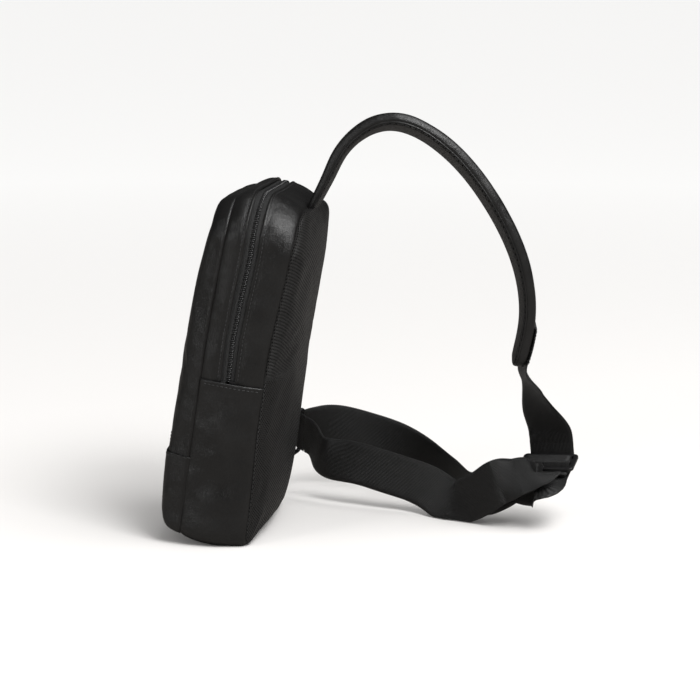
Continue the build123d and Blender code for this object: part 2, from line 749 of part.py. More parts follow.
# from the adjuster the webbing turns on edge, touches the floor and runs to the ring
to_ring = [
    (glide_point(THREAD_END + BREAK, UNDER_BAR), GLIDE_WIDE * -1),
    (glide_point(THREAD_END + 8, UNDER_BAR - 1), GLIDE_WIDE * -1),
    (Vector(-12, 233, 38), Vector(-0.26, -0.75, 0.6)),
    (Vector(-14, 209, 32), Vector(-0.33, -0.39, 0.86)),
    (Vector(-30, 185, 22.8), Vector(-0.4, -0.3, 0.86)),
    (Vector(-50, 163, 20.8), Vector(-0.3, -0.1, 0.95)),
    (Vector(-63, 137, 28), UP),
    (Vector(-68, 107, 37), UP),
    (Vector(-77, 73, 45), UP),
    (ring_leg(1, 8), SWING),
    (ring_leg(1, BREAK), SWING),
]
# it goes back round the far side and under itself to the adjuster's middle bar
to_bar = [
    (ring_leg(-1, BREAK), SWING),
    (ring_leg(-1, 8), SWING),
    (Vector(-140, 77, 56), UP),
    (Vector(-147, 111, 44), UP),
    (Vector(-134, 147, 28), UP),
    (Vector(-100, 171, 21), UP),
    (Vector(-62, 191, 21), Vector(-0.4, -0.2, 0.87)),
    (Vector(-36, 211, 24), Vector(-0.4, -0.5, 0.78)),
    (glide_point(THREAD_END + 8, TAIL_DROP - 1), GLIDE_WIDE * -1),
    (glide_point(THREAD_END + BREAK, TAIL_DROP), GLIDE_WIDE * -1),
]

webbing_upper = ribbon(sewn + hanging, tip.z_dir, GLIDE_PLANE.z_dir * -1)
finish(webbing_upper, "webbing_upper")

webbing_thread = threaded(THREAD_PLANE, thread, BEND)
finish(webbing_thread, "webbing_thread")

webbing_near_run = ribbon(to_ring, GLIDE_RUN, leg_way(1) * -1)
finish(webbing_near_run, "webbing_near_run")

webbing_ring_turn = threaded(RING_TURN, [leg_end(1), (0, turn_apex), leg_end(-1)], TURN_RADIUS)
finish(webbing_ring_turn, "webbing_ring_turn")

webbing_far_run = ribbon(to_bar, leg_way(-1), GLIDE_RUN * -1)
finish(webbing_far_run, "webbing_far_run")

with BuildPart() as webbing_fold:
    with BuildSketch(THREAD_PLANE.offset(-WEB_WIDTH / 2)):
        with BuildLine():
            FilletPolyline(*tail, radius=BEND)
        trace(line_width=WEB)
        RectangleRounded(2 * (BAR_HALF + SLEEVE), GLIDE[2] + 2 * SLEEVE, BEND)
        RectangleRounded(
            2 * (BAR_HALF + BAR_GAP), GLIDE[2] + 2 * BAR_GAP, BAR_GAP, mode=Mode.SUBTRACT
        )
    extrude(amount=WEB_WIDTH)
finish(webbing_fold, "webbing_fold")
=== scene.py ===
"""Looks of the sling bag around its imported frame: leather, air mesh, zip, padded strap and webbing.

Lengths in this file are millimetres unless a name says otherwise, and become metres in world().
The pouch is described by its rim: u runs once round it from the middle of the base towards +X,
y runs from front to back and inset is the distance inwards from the leather's nominal face.
"""

import json
import math

import bmesh
import bpy
import numpy as np
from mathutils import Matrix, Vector, noise
from mathutils.bvhtree import BVHTree

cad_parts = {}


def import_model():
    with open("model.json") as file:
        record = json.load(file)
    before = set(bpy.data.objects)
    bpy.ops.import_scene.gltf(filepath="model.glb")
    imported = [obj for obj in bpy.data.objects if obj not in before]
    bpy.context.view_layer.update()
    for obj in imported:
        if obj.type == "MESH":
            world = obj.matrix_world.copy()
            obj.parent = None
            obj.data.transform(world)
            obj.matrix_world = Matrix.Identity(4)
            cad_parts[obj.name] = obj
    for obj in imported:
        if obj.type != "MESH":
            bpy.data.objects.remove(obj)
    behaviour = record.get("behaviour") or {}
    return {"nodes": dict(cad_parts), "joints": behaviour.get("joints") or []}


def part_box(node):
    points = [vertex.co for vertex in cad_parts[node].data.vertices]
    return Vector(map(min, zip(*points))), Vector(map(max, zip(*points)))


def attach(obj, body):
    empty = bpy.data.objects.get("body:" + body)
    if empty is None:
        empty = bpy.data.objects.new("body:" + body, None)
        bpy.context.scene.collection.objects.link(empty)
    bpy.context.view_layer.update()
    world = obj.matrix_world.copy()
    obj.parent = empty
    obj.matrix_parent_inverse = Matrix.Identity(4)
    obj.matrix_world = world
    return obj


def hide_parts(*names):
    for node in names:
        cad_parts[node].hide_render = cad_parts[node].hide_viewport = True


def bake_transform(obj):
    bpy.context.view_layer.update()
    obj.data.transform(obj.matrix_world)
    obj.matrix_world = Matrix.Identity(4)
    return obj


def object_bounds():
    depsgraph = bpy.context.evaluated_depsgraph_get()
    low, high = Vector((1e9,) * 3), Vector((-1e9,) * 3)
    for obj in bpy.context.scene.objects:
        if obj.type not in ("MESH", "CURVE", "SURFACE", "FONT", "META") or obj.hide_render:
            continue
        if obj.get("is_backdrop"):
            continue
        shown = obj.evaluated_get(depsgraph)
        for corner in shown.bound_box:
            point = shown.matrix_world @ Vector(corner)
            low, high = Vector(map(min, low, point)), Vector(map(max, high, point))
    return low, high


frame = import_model()
cad_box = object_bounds()

MM = 0.001

# ---------------------------------------------------------------- sizes taken from the frame
base_low, base_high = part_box("side_base_panel")
travel = next(j for j in frame["joints"] if j["name"] == "main_zip_travel")

LEAN = math.atan2(travel["axis"][1], travel["axis"][2])
WIDTH = (base_high.x - base_low.x) / MM
HEIGHT = 307.0  # at the crest, where the main zip runs
CORNER = 42.0  # radii of the upper and lower corners
LOW_CORNER = 14.0
SMALLEST_CORNER = 3.0
NARROWEST = 0.4  # half the width that every outline keeps
BASE_Y = 19.0  # the leaning pouch turns about this depth, and rests this much off the floor
LIFT = 0.7
CREST_Y = -4.5  # depths of the main zip and of the two long seams
FRONT_SEAM_Y = -29.0
BACK_SEAM_Y = 29.0
SIDE_DROP = 3.5  # how far the seams lie inside the crest at the sides, top and base
TOP_DROP_FRONT = 8.0
TOP_DROP_BACK = 13.0
TOP_SLOPE_BACK = 0.65  # power that makes the drop at the top of the back start sooner
BOTTOM_DROP = 3.5
SIDE_PANEL_Z = 143.0  # heights of the side panel's lip and of the front overlay's edge
OVERLAY_Z = 73.0
ZIP_GAP = 12.0

# How far the soft pouch has slumped forwards at heights up it, as (height, shift) pairs:
# at its front seam, at the main zip on the +X side, and at its back seam on either side.
FRONT_SLACK = ((0, -4.5), (50, -5.2), (100, -4.4), (165, -4.6), (200, -3.4), (231, -2.2), (273, 0))
ZIP_SLACK = ((60, 0), (140, -4.0), (180, -5.2), (220, -3.0), (254, -0.5))
NEAR_BACK_SLACK = ((0, -3.5), (50, -5), (100, -7.3), (165, -7.2), (186, -6.2), (229, -2.4), (263, 0.5))
NEAR_BACK_SLACK += ((310, 0),)
FAR_BACK_SLACK = ((0, -2.5), (50, -3), (100, -4.5), (165, -6), (200, -6), (229, -5.5), (263, -4), (290, -1))


def ease(value):
    """0 up to 0, 1 from 1 on, and a smooth step between."""
    value = np.clip(value, 0, 1)
    return value * value * (3 - 2 * value)


def slack(x, y, z):
    """Forward or backward shift of the soft walls at points of the pouch's frame."""
    x, y, z = np.broadcast_arrays(np.asarray(x, float), y, z)
    tables = (FRONT_SLACK, ZIP_SLACK, NEAR_BACK_SLACK, FAR_BACK_SLACK)
    at_front, at_zip, near_back, far_back = (np.interp(z, *zip(*pairs)) for pairs in tables)
    at_zip = at_zip * ease((x + 20) / 80)
    side = np.clip(x / WIDTH + 0.5, 0, 1)
    at_back = near_back * side + far_back * (1 - side)
    ahead = np.clip((y - CREST_Y) / (FRONT_SEAM_Y - CREST_Y), 0, 1)
    behind = np.clip((y - CREST_Y) / (BACK_SEAM_Y - CREST_Y), 0, 1)
    return at_zip * (1 - ahead - behind) + at_front * ahead + at_back * behind


def world(x, y, z, firm=True):
    """World positions, in metres, of points in the leaning pouch's frame.

    With firm=False the points move with the slumped soft walls.
    """
    if not firm:
        y = y + slack(x, y, z)
    back = y * math.cos(LEAN) + z * math.sin(LEAN) - BASE_Y
    up = z * math.cos(LEAN) - y * math.sin(LEAN) + LIFT
    return np.stack(np.broadcast_arrays(x, back, up), -1) * MM


BACKWARD = (world(0.0, 1.0, 0.0) - world(0.0, 0.0, 0.0)) / MM
UPWARD = (world(0.0, 0.0, 1.0) - world(0.0, 0.0, 0.0)) / MM


def pouch(point):
    """A world point, in metres, in the pouch's frame, in millimetres."""
    x, back, up = np.moveaxis(np.asarray(point) / MM, -1, 0)
    back = back + BASE_Y
    up = up - LIFT
    y = back * math.cos(LEAN) - up * math.sin(LEAN)
    z = back * math.sin(LEAN) + up * math.cos(LEAN)
    return np.stack([x, y, z], -1)


# ---------------------------------------------------------------- the pouch's rim
SIDE_LOW = LOW_CORNER
SIDE_HIGH = 250.0
HALF_BASE = WIDTH / 2 - LOW_CORNER
HALF_TOP = WIDTH / 2 - CORNER
LOW_QUARTER = math.pi / 2 * LOW_CORNER
TOP_CORNER = math.pi / 2 * CORNER + HEIGHT - CORNER - SIDE_HIGH
NEAR_RUNS = [HALF_BASE, LOW_QUARTER, SIDE_HIGH - SIDE_LOW, TOP_CORNER]
RUNS = NEAR_RUNS + [2 * HALF_TOP] + NEAR_RUNS[::-1]
STARTS = np.concatenate([[0], np.cumsum(RUNS)])
RIM_LENGTH = STARTS[-1]
LIP_U = (HALF_BASE + LOW_QUARTER + SIDE_PANEL_Z - SIDE_LOW) / RIM_LENGTH
UP_ONE = 1 / RIM_LENGTH  # step in u that climbs a side by one millimetre


def drop_share(y):
    """How much of the rounding towards a seam is reached at depth y, from 0 at the zip to 1."""
    seam = np.where(y > CREST_Y, BACK_SEAM_Y, FRONT_SEAM_Y)
    return np.clip((y - CREST_Y) / (seam - CREST_Y), 0, 1) ** 2


def rim_run(u):
    """Which run of the rim holds u, counted up one side, how far along it, and the side's sign."""
    along = u * RIM_LENGTH
    run = np.clip(np.searchsorted(STARTS, along, side="right") - 1, 0, len(RUNS) - 1)
    part = (along - STARTS[run]) / np.array(RUNS)[run]
    mirrored = run > len(NEAR_RUNS)
    run = np.where(mirrored, len(RUNS) - 1 - run, run)
    part = np.where(mirrored, 1 - part, part)
    return run, part, np.where(mirrored, -1.0, 1.0)


def outline(y, inset):
    """Half width, bottom, top and both corner radii of the pouch's outline at depth y."""
    share = drop_share(y)
    half = WIDTH / 2 - SIDE_DROP * share - inset
    top_drop = np.where(y > CREST_Y, TOP_DROP_BACK * share**TOP_SLOPE_BACK, TOP_DROP_FRONT * share)
    radius = np.maximum(CORNER - SIDE_DROP * share - inset, SMALLEST_CORNER)
    low_radius = LOW_CORNER - SIDE_DROP * share - np.minimum(inset, 4) + 0.5 * np.maximum(inset - 4, 0)
    radius = np.minimum(radius, half - NARROWEST)
    low_radius = np.minimum(low_radius, half - NARROWEST)
    return half, BOTTOM_DROP * share + inset, HEIGHT - top_drop - inset, radius, low_radius


def rim(u, y, inset):
    """World positions on the rim. The far half mirrors the near half."""
    u, y, inset = np.broadcast_arrays(
        np.asarray(u, float) % 1.0, np.asarray(y, float), np.asarray(inset, float)
    )
    half, bottom, top, radius, low_radius = outline(y, inset)
    low, high = bottom + low_radius, np.minimum(SIDE_HIGH, top - radius)
    run, part, side = rim_run(u)
    turn = part * math.pi / 2
    straight = top - radius - high
    climbed = part * (straight + math.pi / 2 * radius)
    top_turn = np.maximum(climbed - straight, 0) / radius
    runs = [run == number for number in range(len(NEAR_RUNS) + 1)]
    x = np.select(
        runs,
        [
            part * (half - low_radius),
            half - low_radius + low_radius * np.sin(turn),
            half,
            half - radius + radius * np.cos(top_turn),
            (1 - 2 * part) * (half - radius),
        ],
    )
    z = np.select(
        runs,
        [
            bottom,
            bottom + low_radius - low_radius * np.cos(turn),
            low + part * (high - low),
            high + np.minimum(climbed, straight) + radius * np.sin(top_turn),
            top,
        ],
    )
    return world(side * x, y, z, firm=False)


# ---------------------------------------------------------------- mesh helpers
def smooth_noise(points, size, seed):
    """Soft noise in about -1..1 at world points in metres, with features of the given size."""
    shift = Vector((seed * 7.3, seed * 3.1, seed * 1.7))
    flat = points.reshape(-1, 3)
    values = [noise.noise(Vector(p) / (size * MM) + shift) for p in flat]
    return np.array(values).reshape(points.shape[:-1])


def dents(points, waves, seed):
    """Depth of soft dents at world points, from (size, depth) pairs."""
    depths = [depth * smooth_noise(points, size, seed + k) for k, (size, depth) in enumerate(waves)]
    return sum(depths)


def fill_row(mesh, layer, ring, uv, paired):
    """Closes a ring with one flat face, or with a strip that joins its two mirrored halves."""
    count = len(ring)
    faces = [range(count)]
    if paired:
        faces = [(k, k + 1, count - k - 1, (count - k) % count) for k in range(count // 2)]
    for places in faces:
        corners = list(dict.fromkeys(places))
        face = mesh.faces.new([ring[k] for k in corners])
        face.smooth = True
        for loop, k in zip(face.loops, corners):
            loop[layer].uv = uv[k]
        if not paired:
            bmesh.ops.triangulate(mesh, faces=[face])


def from_grid(name, points, closed=False, uv=None, caps=0):
    """A mesh from a grid of points. closed joins the last column to the first.

    caps=1 joins the two halves of the last row, and caps=2 puts a flat face on the last and
    first rows. UVs are in metres.
    """
    rows, columns = points.shape[:2]
    mesh = bmesh.new()
    verts = [[mesh.verts.new(p) for p in row] for row in points]
    layer = mesh.loops.layers.uv.new("UVMap")
    if uv is None:
        across = np.linalg.norm(np.diff(points, axis=1), axis=-1).mean(0)
        along = np.linalg.norm(np.diff(points, axis=0), axis=-1).mean(1)
        across = np.concatenate([[0], np.cumsum(across)])
        along = np.concatenate([[0], np.cumsum(along)])
        uv = np.stack(np.meshgrid(across, along), -1)
    last = columns if closed else columns - 1
    for i in range(rows - 1):
        for j in range(last):
            k = (j + 1) % columns
            corners = ((i, j), (i, k), (i + 1, k), (i + 1, j))
            face = mesh.faces.new([verts[a][b] for a, b in corners])
            face.smooth = True
            for loop, (a, b) in zip(face.loops, corners):
                loop[layer].uv = uv[a][b]
    for row in (-1, 0)[:caps]:
        fill_row(mesh, layer, verts[row], uv[row], paired=caps == 1)
    return to_object(name, mesh)


def to_object(name, mesh):
    """Turns a finished bmesh into an object of the scene."""
    bmesh.ops.recalc_face_normals(mesh, faces=mesh.faces)
    data = bpy.data.meshes.new(name)
    mesh.to_mesh(data)
    mesh.free()
    thing = bpy.data.objects.new(name, data)
    bpy.context.scene.collection.objects.link(thing)
    return thing


def apply_modifiers(thing):
    """Makes the modified shape the object's own mesh."""
    graph = bpy.context.evaluated_depsgraph_get()
    baked = bpy.data.meshes.new_from_object(thing.evaluated_get(graph))
    thing.modifiers.clear()
    old = thing.data
    thing.data = baked
    bpy.data.meshes.remove(old)
    for face in thing.data.polygons:
        face.use_smooth = True


def thicken(thing, thickness):
    """Gives a sheet its thickness inwards, in millimetres."""
    solid = thing.modifiers.new("thickness", "SOLIDIFY")
    solid.thickness = thickness * MM
    solid.offset = -1
    apply_modifiers(thing)


SETTLE_FRAMES = 14
SETTLE_LIMIT = 1.2  # furthest the simulation may move a point, in millimetres


def add_cloth(thing, held, pressure, slack_share):
    """Cloth with some vertices held and air pressing from behind."""
    thing.vertex_groups.new(name="held").add(held, 1.0, "REPLACE")
    cloth = thing.modifiers.new("cloth", "CLOTH")
    cloth.settings.vertex_group_mass = "held"
    cloth.settings.quality = 4
    cloth.settings.mass = 0.3
    cloth.settings.tension_stiffness = 30
    cloth.settings.compression_stiffness = 30
    cloth.settings.shear_stiffness = 10
    cloth.settings.bending_stiffness = 3
    cloth.settings.shrink_min = -slack_share
    cloth.settings.use_pressure = True
    cloth.settings.uniform_pressure_force = pressure
    cloth.settings.effector_weights.gravity = 0
    cloth.collision_settings.use_collision = False
    cloth.point_cache.frame_end = SETTLE_FRAMES


def settle(thing, held, free, pressure, slack_share):
    """Lets a padded panel find its own creases.

    The share free, one for each vertex, says how much of the movement is kept.
    """
    rest = np.array([v.co for v in thing.data.vertices])
    add_cloth(thing, held, pressure, slack_share)
    for number in range(1, SETTLE_FRAMES + 1):
        bpy.context.scene.frame_set(number)
    done = thing.evaluated_get(bpy.context.evaluated_depsgraph_get())
    moved = np.array([v.co for v in done.data.vertices]) - rest
    thing.modifiers.clear()
    thing.vertex_groups.clear()
    bpy.context.scene.frame_set(1)
    reach = np.linalg.norm(moved, axis=1, keepdims=True)
    limit = SETTLE_LIMIT * MM
    moved = moved * np.minimum(1, limit / np.maximum(reach, limit * 0.01))
    moved = moved * np.asarray(free)[:, None]
    thing.data.vertices.foreach_set("co", (rest + moved).astype(np.float32).ravel())
    thing.data.update()


def dress(thing, material, body, slot, *nodes):
    """Material, moving body, finish slot (not used) and the CAD nodes a piece stands for."""
    thing.data.materials.clear()
    thing.data.materials.append(material)
    if body:
        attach(thing, body)
    if nodes:
        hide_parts(*nodes)
    return thing


# ---------------------------------------------------------------- material helpers
class Nodes:
    """Short way to write a node material."""

    def __init__(self, name):
        self.material = bpy.data.materials.new(name)
        self.material.use_nodes = True
        self.tree = self.material.node_tree
        self.shader = self.tree.nodes["Principled BSDF"]
        self.coord = self.tree.nodes.new("ShaderNodeTexCoord")

    def add(self, kind, inputs=None, **settings):
        """A new shader node with its settings, and with links or values for its inputs."""
        node = self.tree.nodes.new("ShaderNode" + kind)
        for key, value in settings.items():
            setattr(node, key, value)
        for key, value in (inputs or {}).items():
            self.feed(node.inputs[key], value)
        return node

    def feed(self, socket, value):
        if isinstance(value, bpy.types.NodeSocket):
            self.tree.links.new(value, socket)
        else:
            socket.default_value = value

    def math(self, operation, a, b=0.0, c=0.0):
        node = self.add("Math", operation=operation)
        for socket, value in zip(node.inputs, (a, b, c)):
            self.feed(socket, value)
        return node.outputs[0]

    def mix(self, share, a, b):
        return self.add("Mix", {0: share, 6: a, 7: b}, data_type="RGBA").outputs[2]

    def noise(self, vector, scale, detail=3.0, roughness=0.5):
        return self.add(
            "TexNoise",
            {"Vector": vector, "Scale": scale, "Detail": detail, "Roughness": roughness},
        ).outputs[0]

    def span(self, value, low, high, new_low, new_high):
        return self.add(
            "MapRange",
            {0: value, 1: low, 2: high, 3: new_low, 4: new_high},
        ).outputs[0]

    def bump(self, height, distance, strength=1.0, normal=None):
        inputs = {"Height": height, "Distance": distance, "Strength": strength}
        if normal is not None:
            inputs["Normal"] = normal
        return self.add("Bump", inputs).outputs[0]

    def wave(self, run, pitch):
        return self.math("SINE", self.math("MULTIPLY", run, math.tau / pitch))

    def set(self, **values):
        for key, value in values.items():
            self.feed(self.shader.inputs[key.replace("_", " ")], value)


def colour(red, green, blue):
    return (red, green, blue, 1.0)


def leather_material(name, tone, gloss):
    """Smooth black coated leather: fine pebble grain, faint creases, uneven sheen."""
    n = Nodes(name)
    where = n.coord.outputs["Object"]
    cells = n.add(
        "TexVoronoi", {"Vector": where, "Scale": 1100.0}, feature="DISTANCE_TO_EDGE"
    ).outputs["Distance"]
    grain = n.span(cells, 0.0, 0.25, 0.0, 1.0)
    fine = n.noise(where, 2600.0, 2.0)
    crease = n.noise(where, 130.0, 4.0, 0.6)
    wear = n.noise(where, 28.0, 3.0, 0.55)
    wavy = n.bump(n.noise(where, 26.0, 2.0, 0.5), 0.012, 0.35)
    creased = n.bump(crease, 0.0012, 0.45, wavy)
    pebbled = n.bump(grain, 0.00012, 0.55, creased)
    normal = n.bump(fine, 0.00005, 0.4, pebbled)
    base = n.mix(
        n.span(wear, 0.3, 0.7, 0.0, 1.0),
        colour(tone, tone * 0.97, tone * 0.95),
        colour(tone * 1.7, tone * 1.65, tone * 1.6),
    )
    rough = n.math("ADD", n.span(wear, 0.3, 0.7, gloss, gloss + 0.12), n.span(grain, 0.0, 1.0, 0.08, 0.0))
    n.set(Base_Color=base, Roughness=rough, Normal=normal, Specular_IOR_Level=0.42)
    return n.material


def air_mesh_material(name):
    """Spacer mesh: slanting rows of small openings between knitted ribs. UVs are in metres."""
    n = Nodes(name)
    across, up = n.add("SeparateXYZ", {0: n.coord.outputs["UV"]}).outputs[:2]
    pitch = 2.5 * MM
    ribs = n.wave(n.math("ADD", across, n.math("MULTIPLY", up, 0.62)), pitch)
    rows = n.wave(n.math("SUBTRACT", n.math("MULTIPLY", up, 0.9), n.math("MULTIPLY", across, 0.45)), pitch)
    hole = n.math("MULTIPLY", n.span(ribs, -1, 1, 0, 1), n.span(rows, -1, 1, 0, 1))
    open_and_shaded = n.span(hole, 0.25, 0.6, 0.0, 1.0)
    yarn = n.wave(up, 0.5 * MM)
    height = n.math("ADD", n.math("SUBTRACT", 1.0, open_and_shaded), n.math("MULTIPLY", yarn, 0.08))
    fuzz = n.noise(n.coord.outputs["Object"], 3000.0, 2.0)
    normal = n.bump(fuzz, 0.0001, 0.3, n.bump(height, 0.0007, 0.9))
    # Painted shade: the openings are coloured near black, as if shaded inside, while the ribs keep the
    # yarn's own near-black.
    n.set(
        Base_Color=n.mix(open_and_shaded, colour(0.012, 0.0115, 0.011), colour(0.001, 0.001, 0.001)),
        Roughness=n.span(open_and_shaded, 0.0, 1.0, 0.45, 0.9),
        Specular_IOR_Level=n.span(open_and_shaded, 0.0, 1.0, 0.32, 0.02),
        Normal=normal,
        Sheen_Weight=0.02,
        Sheen_Roughness=0.4,
    )
    return n.material


def woven_material(name, rib, thread, tone, depth, sheen=0.2, rough=0.55):
    """Tape or webbing: ribs along its length crossed by threads. UV x is along, y is across."""
    n = Nodes(name)
    split = n.add("SeparateXYZ", {0: n.coord.outputs["UV"]}).outputs
    across = n.wave(split[1], rib)
    turns = n.math("MULTIPLY", split[0], math.tau / thread)
    along = n.math("SINE", n.math("ADD", turns, n.math("MULTIPLY", across, 1.4)))
    height = n.math("ADD", n.math("MULTIPLY", across, 0.6), n.math("MULTIPLY", along, 0.4))
    fuzz = n.noise(n.coord.outputs["Object"], 2500.0, 3.0)
    normal = n.bump(fuzz, 0.0001, 0.35, n.bump(height, depth, 0.8))
    # Painted shade: the low parts of the weave are coloured half as bright, as the shade between ribs and
    # threads.
    painted_weave_shade = n.span(height, -1.0, 1.0, 0.0, 1.0)
    n.set(
        Base_Color=n.mix(painted_weave_shade, colour(tone * 0.5, tone * 0.5, tone * 0.5), colour(tone, tone, tone)),
        Roughness=rough,
        Normal=normal,
        Sheen_Weight=sheen,
        Sheen_Roughness=0.35,
    )
    return n.material


def plastic_material(name, tone, rough, grain=0.00003):
    """Moulded plastic or thread with a little wear in its shine."""
    n = Nodes(name)
    where = n.coord.outputs["Object"]
    wear = n.noise(where, 300.0, 4.0)
    normal = n.bump(n.noise(where, 4000.0, 2.0), grain, 0.5)
    n.set(
        Base_Color=colour(tone, tone, tone * 1.03),
        Roughness=n.span(wear, 0.3, 0.7, rough - 0.06, rough + 0.08),
        Normal=normal,
    )
    return n.material


def metal_material(name):
    """Dark plated metal with a fine brushed unevenness."""
    n = Nodes(name)
    where = n.coord.outputs["Object"]
    wear = n.noise(where, 500.0, 5.0)
    n.set(
        Base_Color=colour(0.05, 0.05, 0.054),
        Metallic=1.0,
        Roughness=n.span(wear, 0.3, 0.7, 0.28, 0.42),
        Normal=n.bump(n.noise(where, 2500.0, 2.0), 0.00002, 0.5),
    )
    return n.material


def floor_material(name):
    """Pale paper floor, coloured darker near the bag as painted shade, that shows only dimly in
    reflections, as under dark flags.
    """
    n = Nodes(name)
    mirrored = n.add("LightPath").outputs["Is Glossy Ray"]
    away = n.add("VectorMath", {0: n.coord.outputs["Object"]}, operation="LENGTH").outputs["Value"]
    near, far = colour(0.76, 0.745, 0.73), colour(0.965, 0.96, 0.95)
    # Painted shade: the floor is coloured darker within 0.3 m of the bag and grows brighter out to 3 m.
    seen = n.mix(n.span(away, 0.3, 3.0, 0.0, 1.0), near, far)
    n.set(
        Base_Color=n.mix(mirrored, seen, colour(0.25, 0.235, 0.22)),
        Roughness=n.span(n.noise(n.coord.outputs["Object"], 40.0), 0.3, 0.7, 0.85, 0.95),
        Specular_IOR_Level=0.1,
    )
    return n.material


LEATHER = leather_material("black_leather", 0.0045, 0.27)
AIR_MESH = air_mesh_material("air_mesh")
TAPE = woven_material("zip_tape", 1.1 * MM, 0.55 * MM, 0.012, 0.0002, 0.05)
WEBBING = woven_material("webbing", 1.25 * MM, 0.8 * MM, 0.0035, 0.00028, 0.06, 0.5)
BINDING = woven_material("binding", 0.8 * MM, 0.5 * MM, 0.008, 0.00015, 0.04)
COIL = plastic_material("coil_plastic", 0.012, 0.3)
HARDWARE = plastic_material("black_plastic", 0.007, 0.34)
THREAD = plastic_material("thread", 0.03, 0.42, 0.00008)
METAL = metal_material("gunmetal")


# ---------------------------------------------------------------- seams and stitches
STITCH_PITCH = 3.7
STITCH_LENGTH = 2.6
STITCH_RADIUS = 0.32


def unit(v):
    """The same directions with length 1."""
    v = np.asarray(v, float)
    return v / np.linalg.norm(v, axis=-1, keepdims=True)


def run_lengths(points):
    """Distance along a polyline at each of its points."""
    return np.concatenate([[0], np.cumsum(np.linalg.norm(np.diff(points, axis=0), axis=1))])


def read_along(points, lengths, stops):
    """Points of a polyline at some distances along it."""
    return np.stack([np.interp(stops, lengths, column) for column in points.T], -1)


def along_path(points, step):
    """Points and directions every step metres along a polyline."""
    points = np.asarray(points)
    lengths = run_lengths(points)
    count = max(int(lengths[-1] / step), 1)
    stops = (np.arange(count) + 0.5) * lengths[-1] / count
    near = step * 0.4
    way = read_along(points, lengths, stops + near) - read_along(points, lengths, stops - near)
    return read_along(points, lengths, stops), unit(way)


def rounded_rod(mesh, centre, direction, length, radius, profile, sides):
    """Adds a short rod to a bmesh. profile holds (share of the length, share of the radius) pairs."""
    side = direction.orthogonal().normalized()
    up = direction.cross(side)
    rings = []
    for share, wide in profile:
        middle = centre + direction * (share * length * MM)
        ring = []
        for k in range(sides):
            angle = math.tau * k / sides
            spoke = side * math.cos(angle) + up * math.sin(angle)
            ring.append(mesh.verts.new(middle + spoke * (wide * radius * MM)))
        rings.append(ring)
    for first, second in zip(rings, rings[1:]):
        for k in range(sides):
            mesh.faces.new((first[k], first[(k + 1) % sides], second[(k + 1) % sides], second[k]))
    mesh.faces.new(rings[0][::-1])
    mesh.faces.new(rings[-1])


def stitch_row(mesh, points, pitch=STITCH_PITCH, length=STITCH_LENGTH, radius=STITCH_RADIUS):
    """Adds a row of short rounded stitches along a path to a bmesh."""
    profile = ((-0.5, 0.15), (-0.38, 0.8), (0.0, 1.0), (0.38, 0.8), (0.5, 0.15))
    for centre, direction in zip(*along_path(points, pitch * MM)):
        rounded_rod(mesh, Vector(centre), Vector(direction), length, radius, profile, 6)


def stitches(name, paths, **sizes):
    """An object with a row of stitches along each path."""
    mesh = bmesh.new()
    for path in paths:
        stitch_row(mesh, path, **sizes)
    for face in mesh.faces:
        face.smooth = True
    return to_object(name, mesh)


# ---------------------------------------------------------------- leather strips beside the zip
ZIP_FRONT = CREST_Y - ZIP_GAP / 2
ZIP_BACK = CREST_Y + ZIP_GAP / 2
STITCH_IN = 3.0  # from the folded edge to its stitches
UNDER_LIP = 10.0  # how far the strips run on below the side panel's edge
STRIP_DENTS = ((32, 1.1), (12, 0.3))  # (size, depth)
STITCH_PULL = 0.13  # each stitch pulls the turned edge down this much


def strip_profile(seam, fold):
    """(y, inset) across a strip, from the tuck at its seam to the turned edge at the zip."""
    way = 1 if fold > seam else -1
    width = abs(fold - seam)
    points = [(seam + way * 1.4, 4.2), (seam + way * 0.3, 3.2), (seam + way * 0.1, 1.9)]
    points += [(seam + way * 0.7, 0.8), (seam + way * 1.8, 0.15)]
    for k in range(1, 9):
        share = k / 9
        rise = 0.9 * math.sin(math.pi * share) ** 0.8
        points.append((seam + way * (1.8 + share * (width - 1.8 - STITCH_IN)), 0.1 - rise))
    turned = [(STITCH_IN, 0.22), (STITCH_IN - 0.7, 0.0), (1.4, -0.25), (0.6, -0.1), (0.1, 0.35), (0, 0.9)]
    turned += [(0.2, 1.5), (1.0, 1.85), (5.0, 2.1)]
    return points + [(fold - way * back, inset) for back, inset in turned]


def leather_strip(name, seam, fold, seed, node):
    """Soft leather strip from a seam to its turned and stitched edge beside the zip."""
    profile = np.array(strip_profile(seam, fold))
    sewn_at = fold - STITCH_IN * np.sign(fold - seam)
    reach = LIP_U - UNDER_LIP * UP_ONE
    u = np.linspace(reach, 1 - reach, 300)
    depth = profile[:, 0][:, None]
    inset = np.repeat(profile[:, 1][:, None], len(u), 1)
    flat = rim(u[None, :], depth, inset)
    face = np.clip((1.2 - inset) / 1.2, 0, 1)
    inset = inset - dents(flat, STRIP_DENTS, seed) * face
    # the leather tucks in under the side panel
    u_low = np.minimum(u, 1 - u) - LIP_U
    tuck = np.clip((2 * UP_ONE - u_low) / (4 * UP_ONE), 0, 1)
    inset = inset + 0.5 * tuck[None, :]
    pucker = STITCH_PULL * np.cos(math.tau * u * RIM_LENGTH / STITCH_PITCH)
    line = np.exp(-(((depth - sewn_at) / 0.7) ** 2))
    inset = inset + line * (0.1 + pucker[None, :])
    row = int(np.argmin(np.abs(profile[:, 0] - sewn_at)))
    thread = rim(u, profile[row, 0], inset[row] - 0.2)
    sewn = thread[np.minimum(u, 1 - u) > LIP_U + 2 * UP_ONE]
    thing = from_grid(name, rim(u[None, :], depth, inset))
    thicken(thing, 0.7)
    dress(thing, LEATHER, "bag", "leather", node)
    dress(stitches(name + "_stitches", [sewn]), THREAD, "bag", "leather")


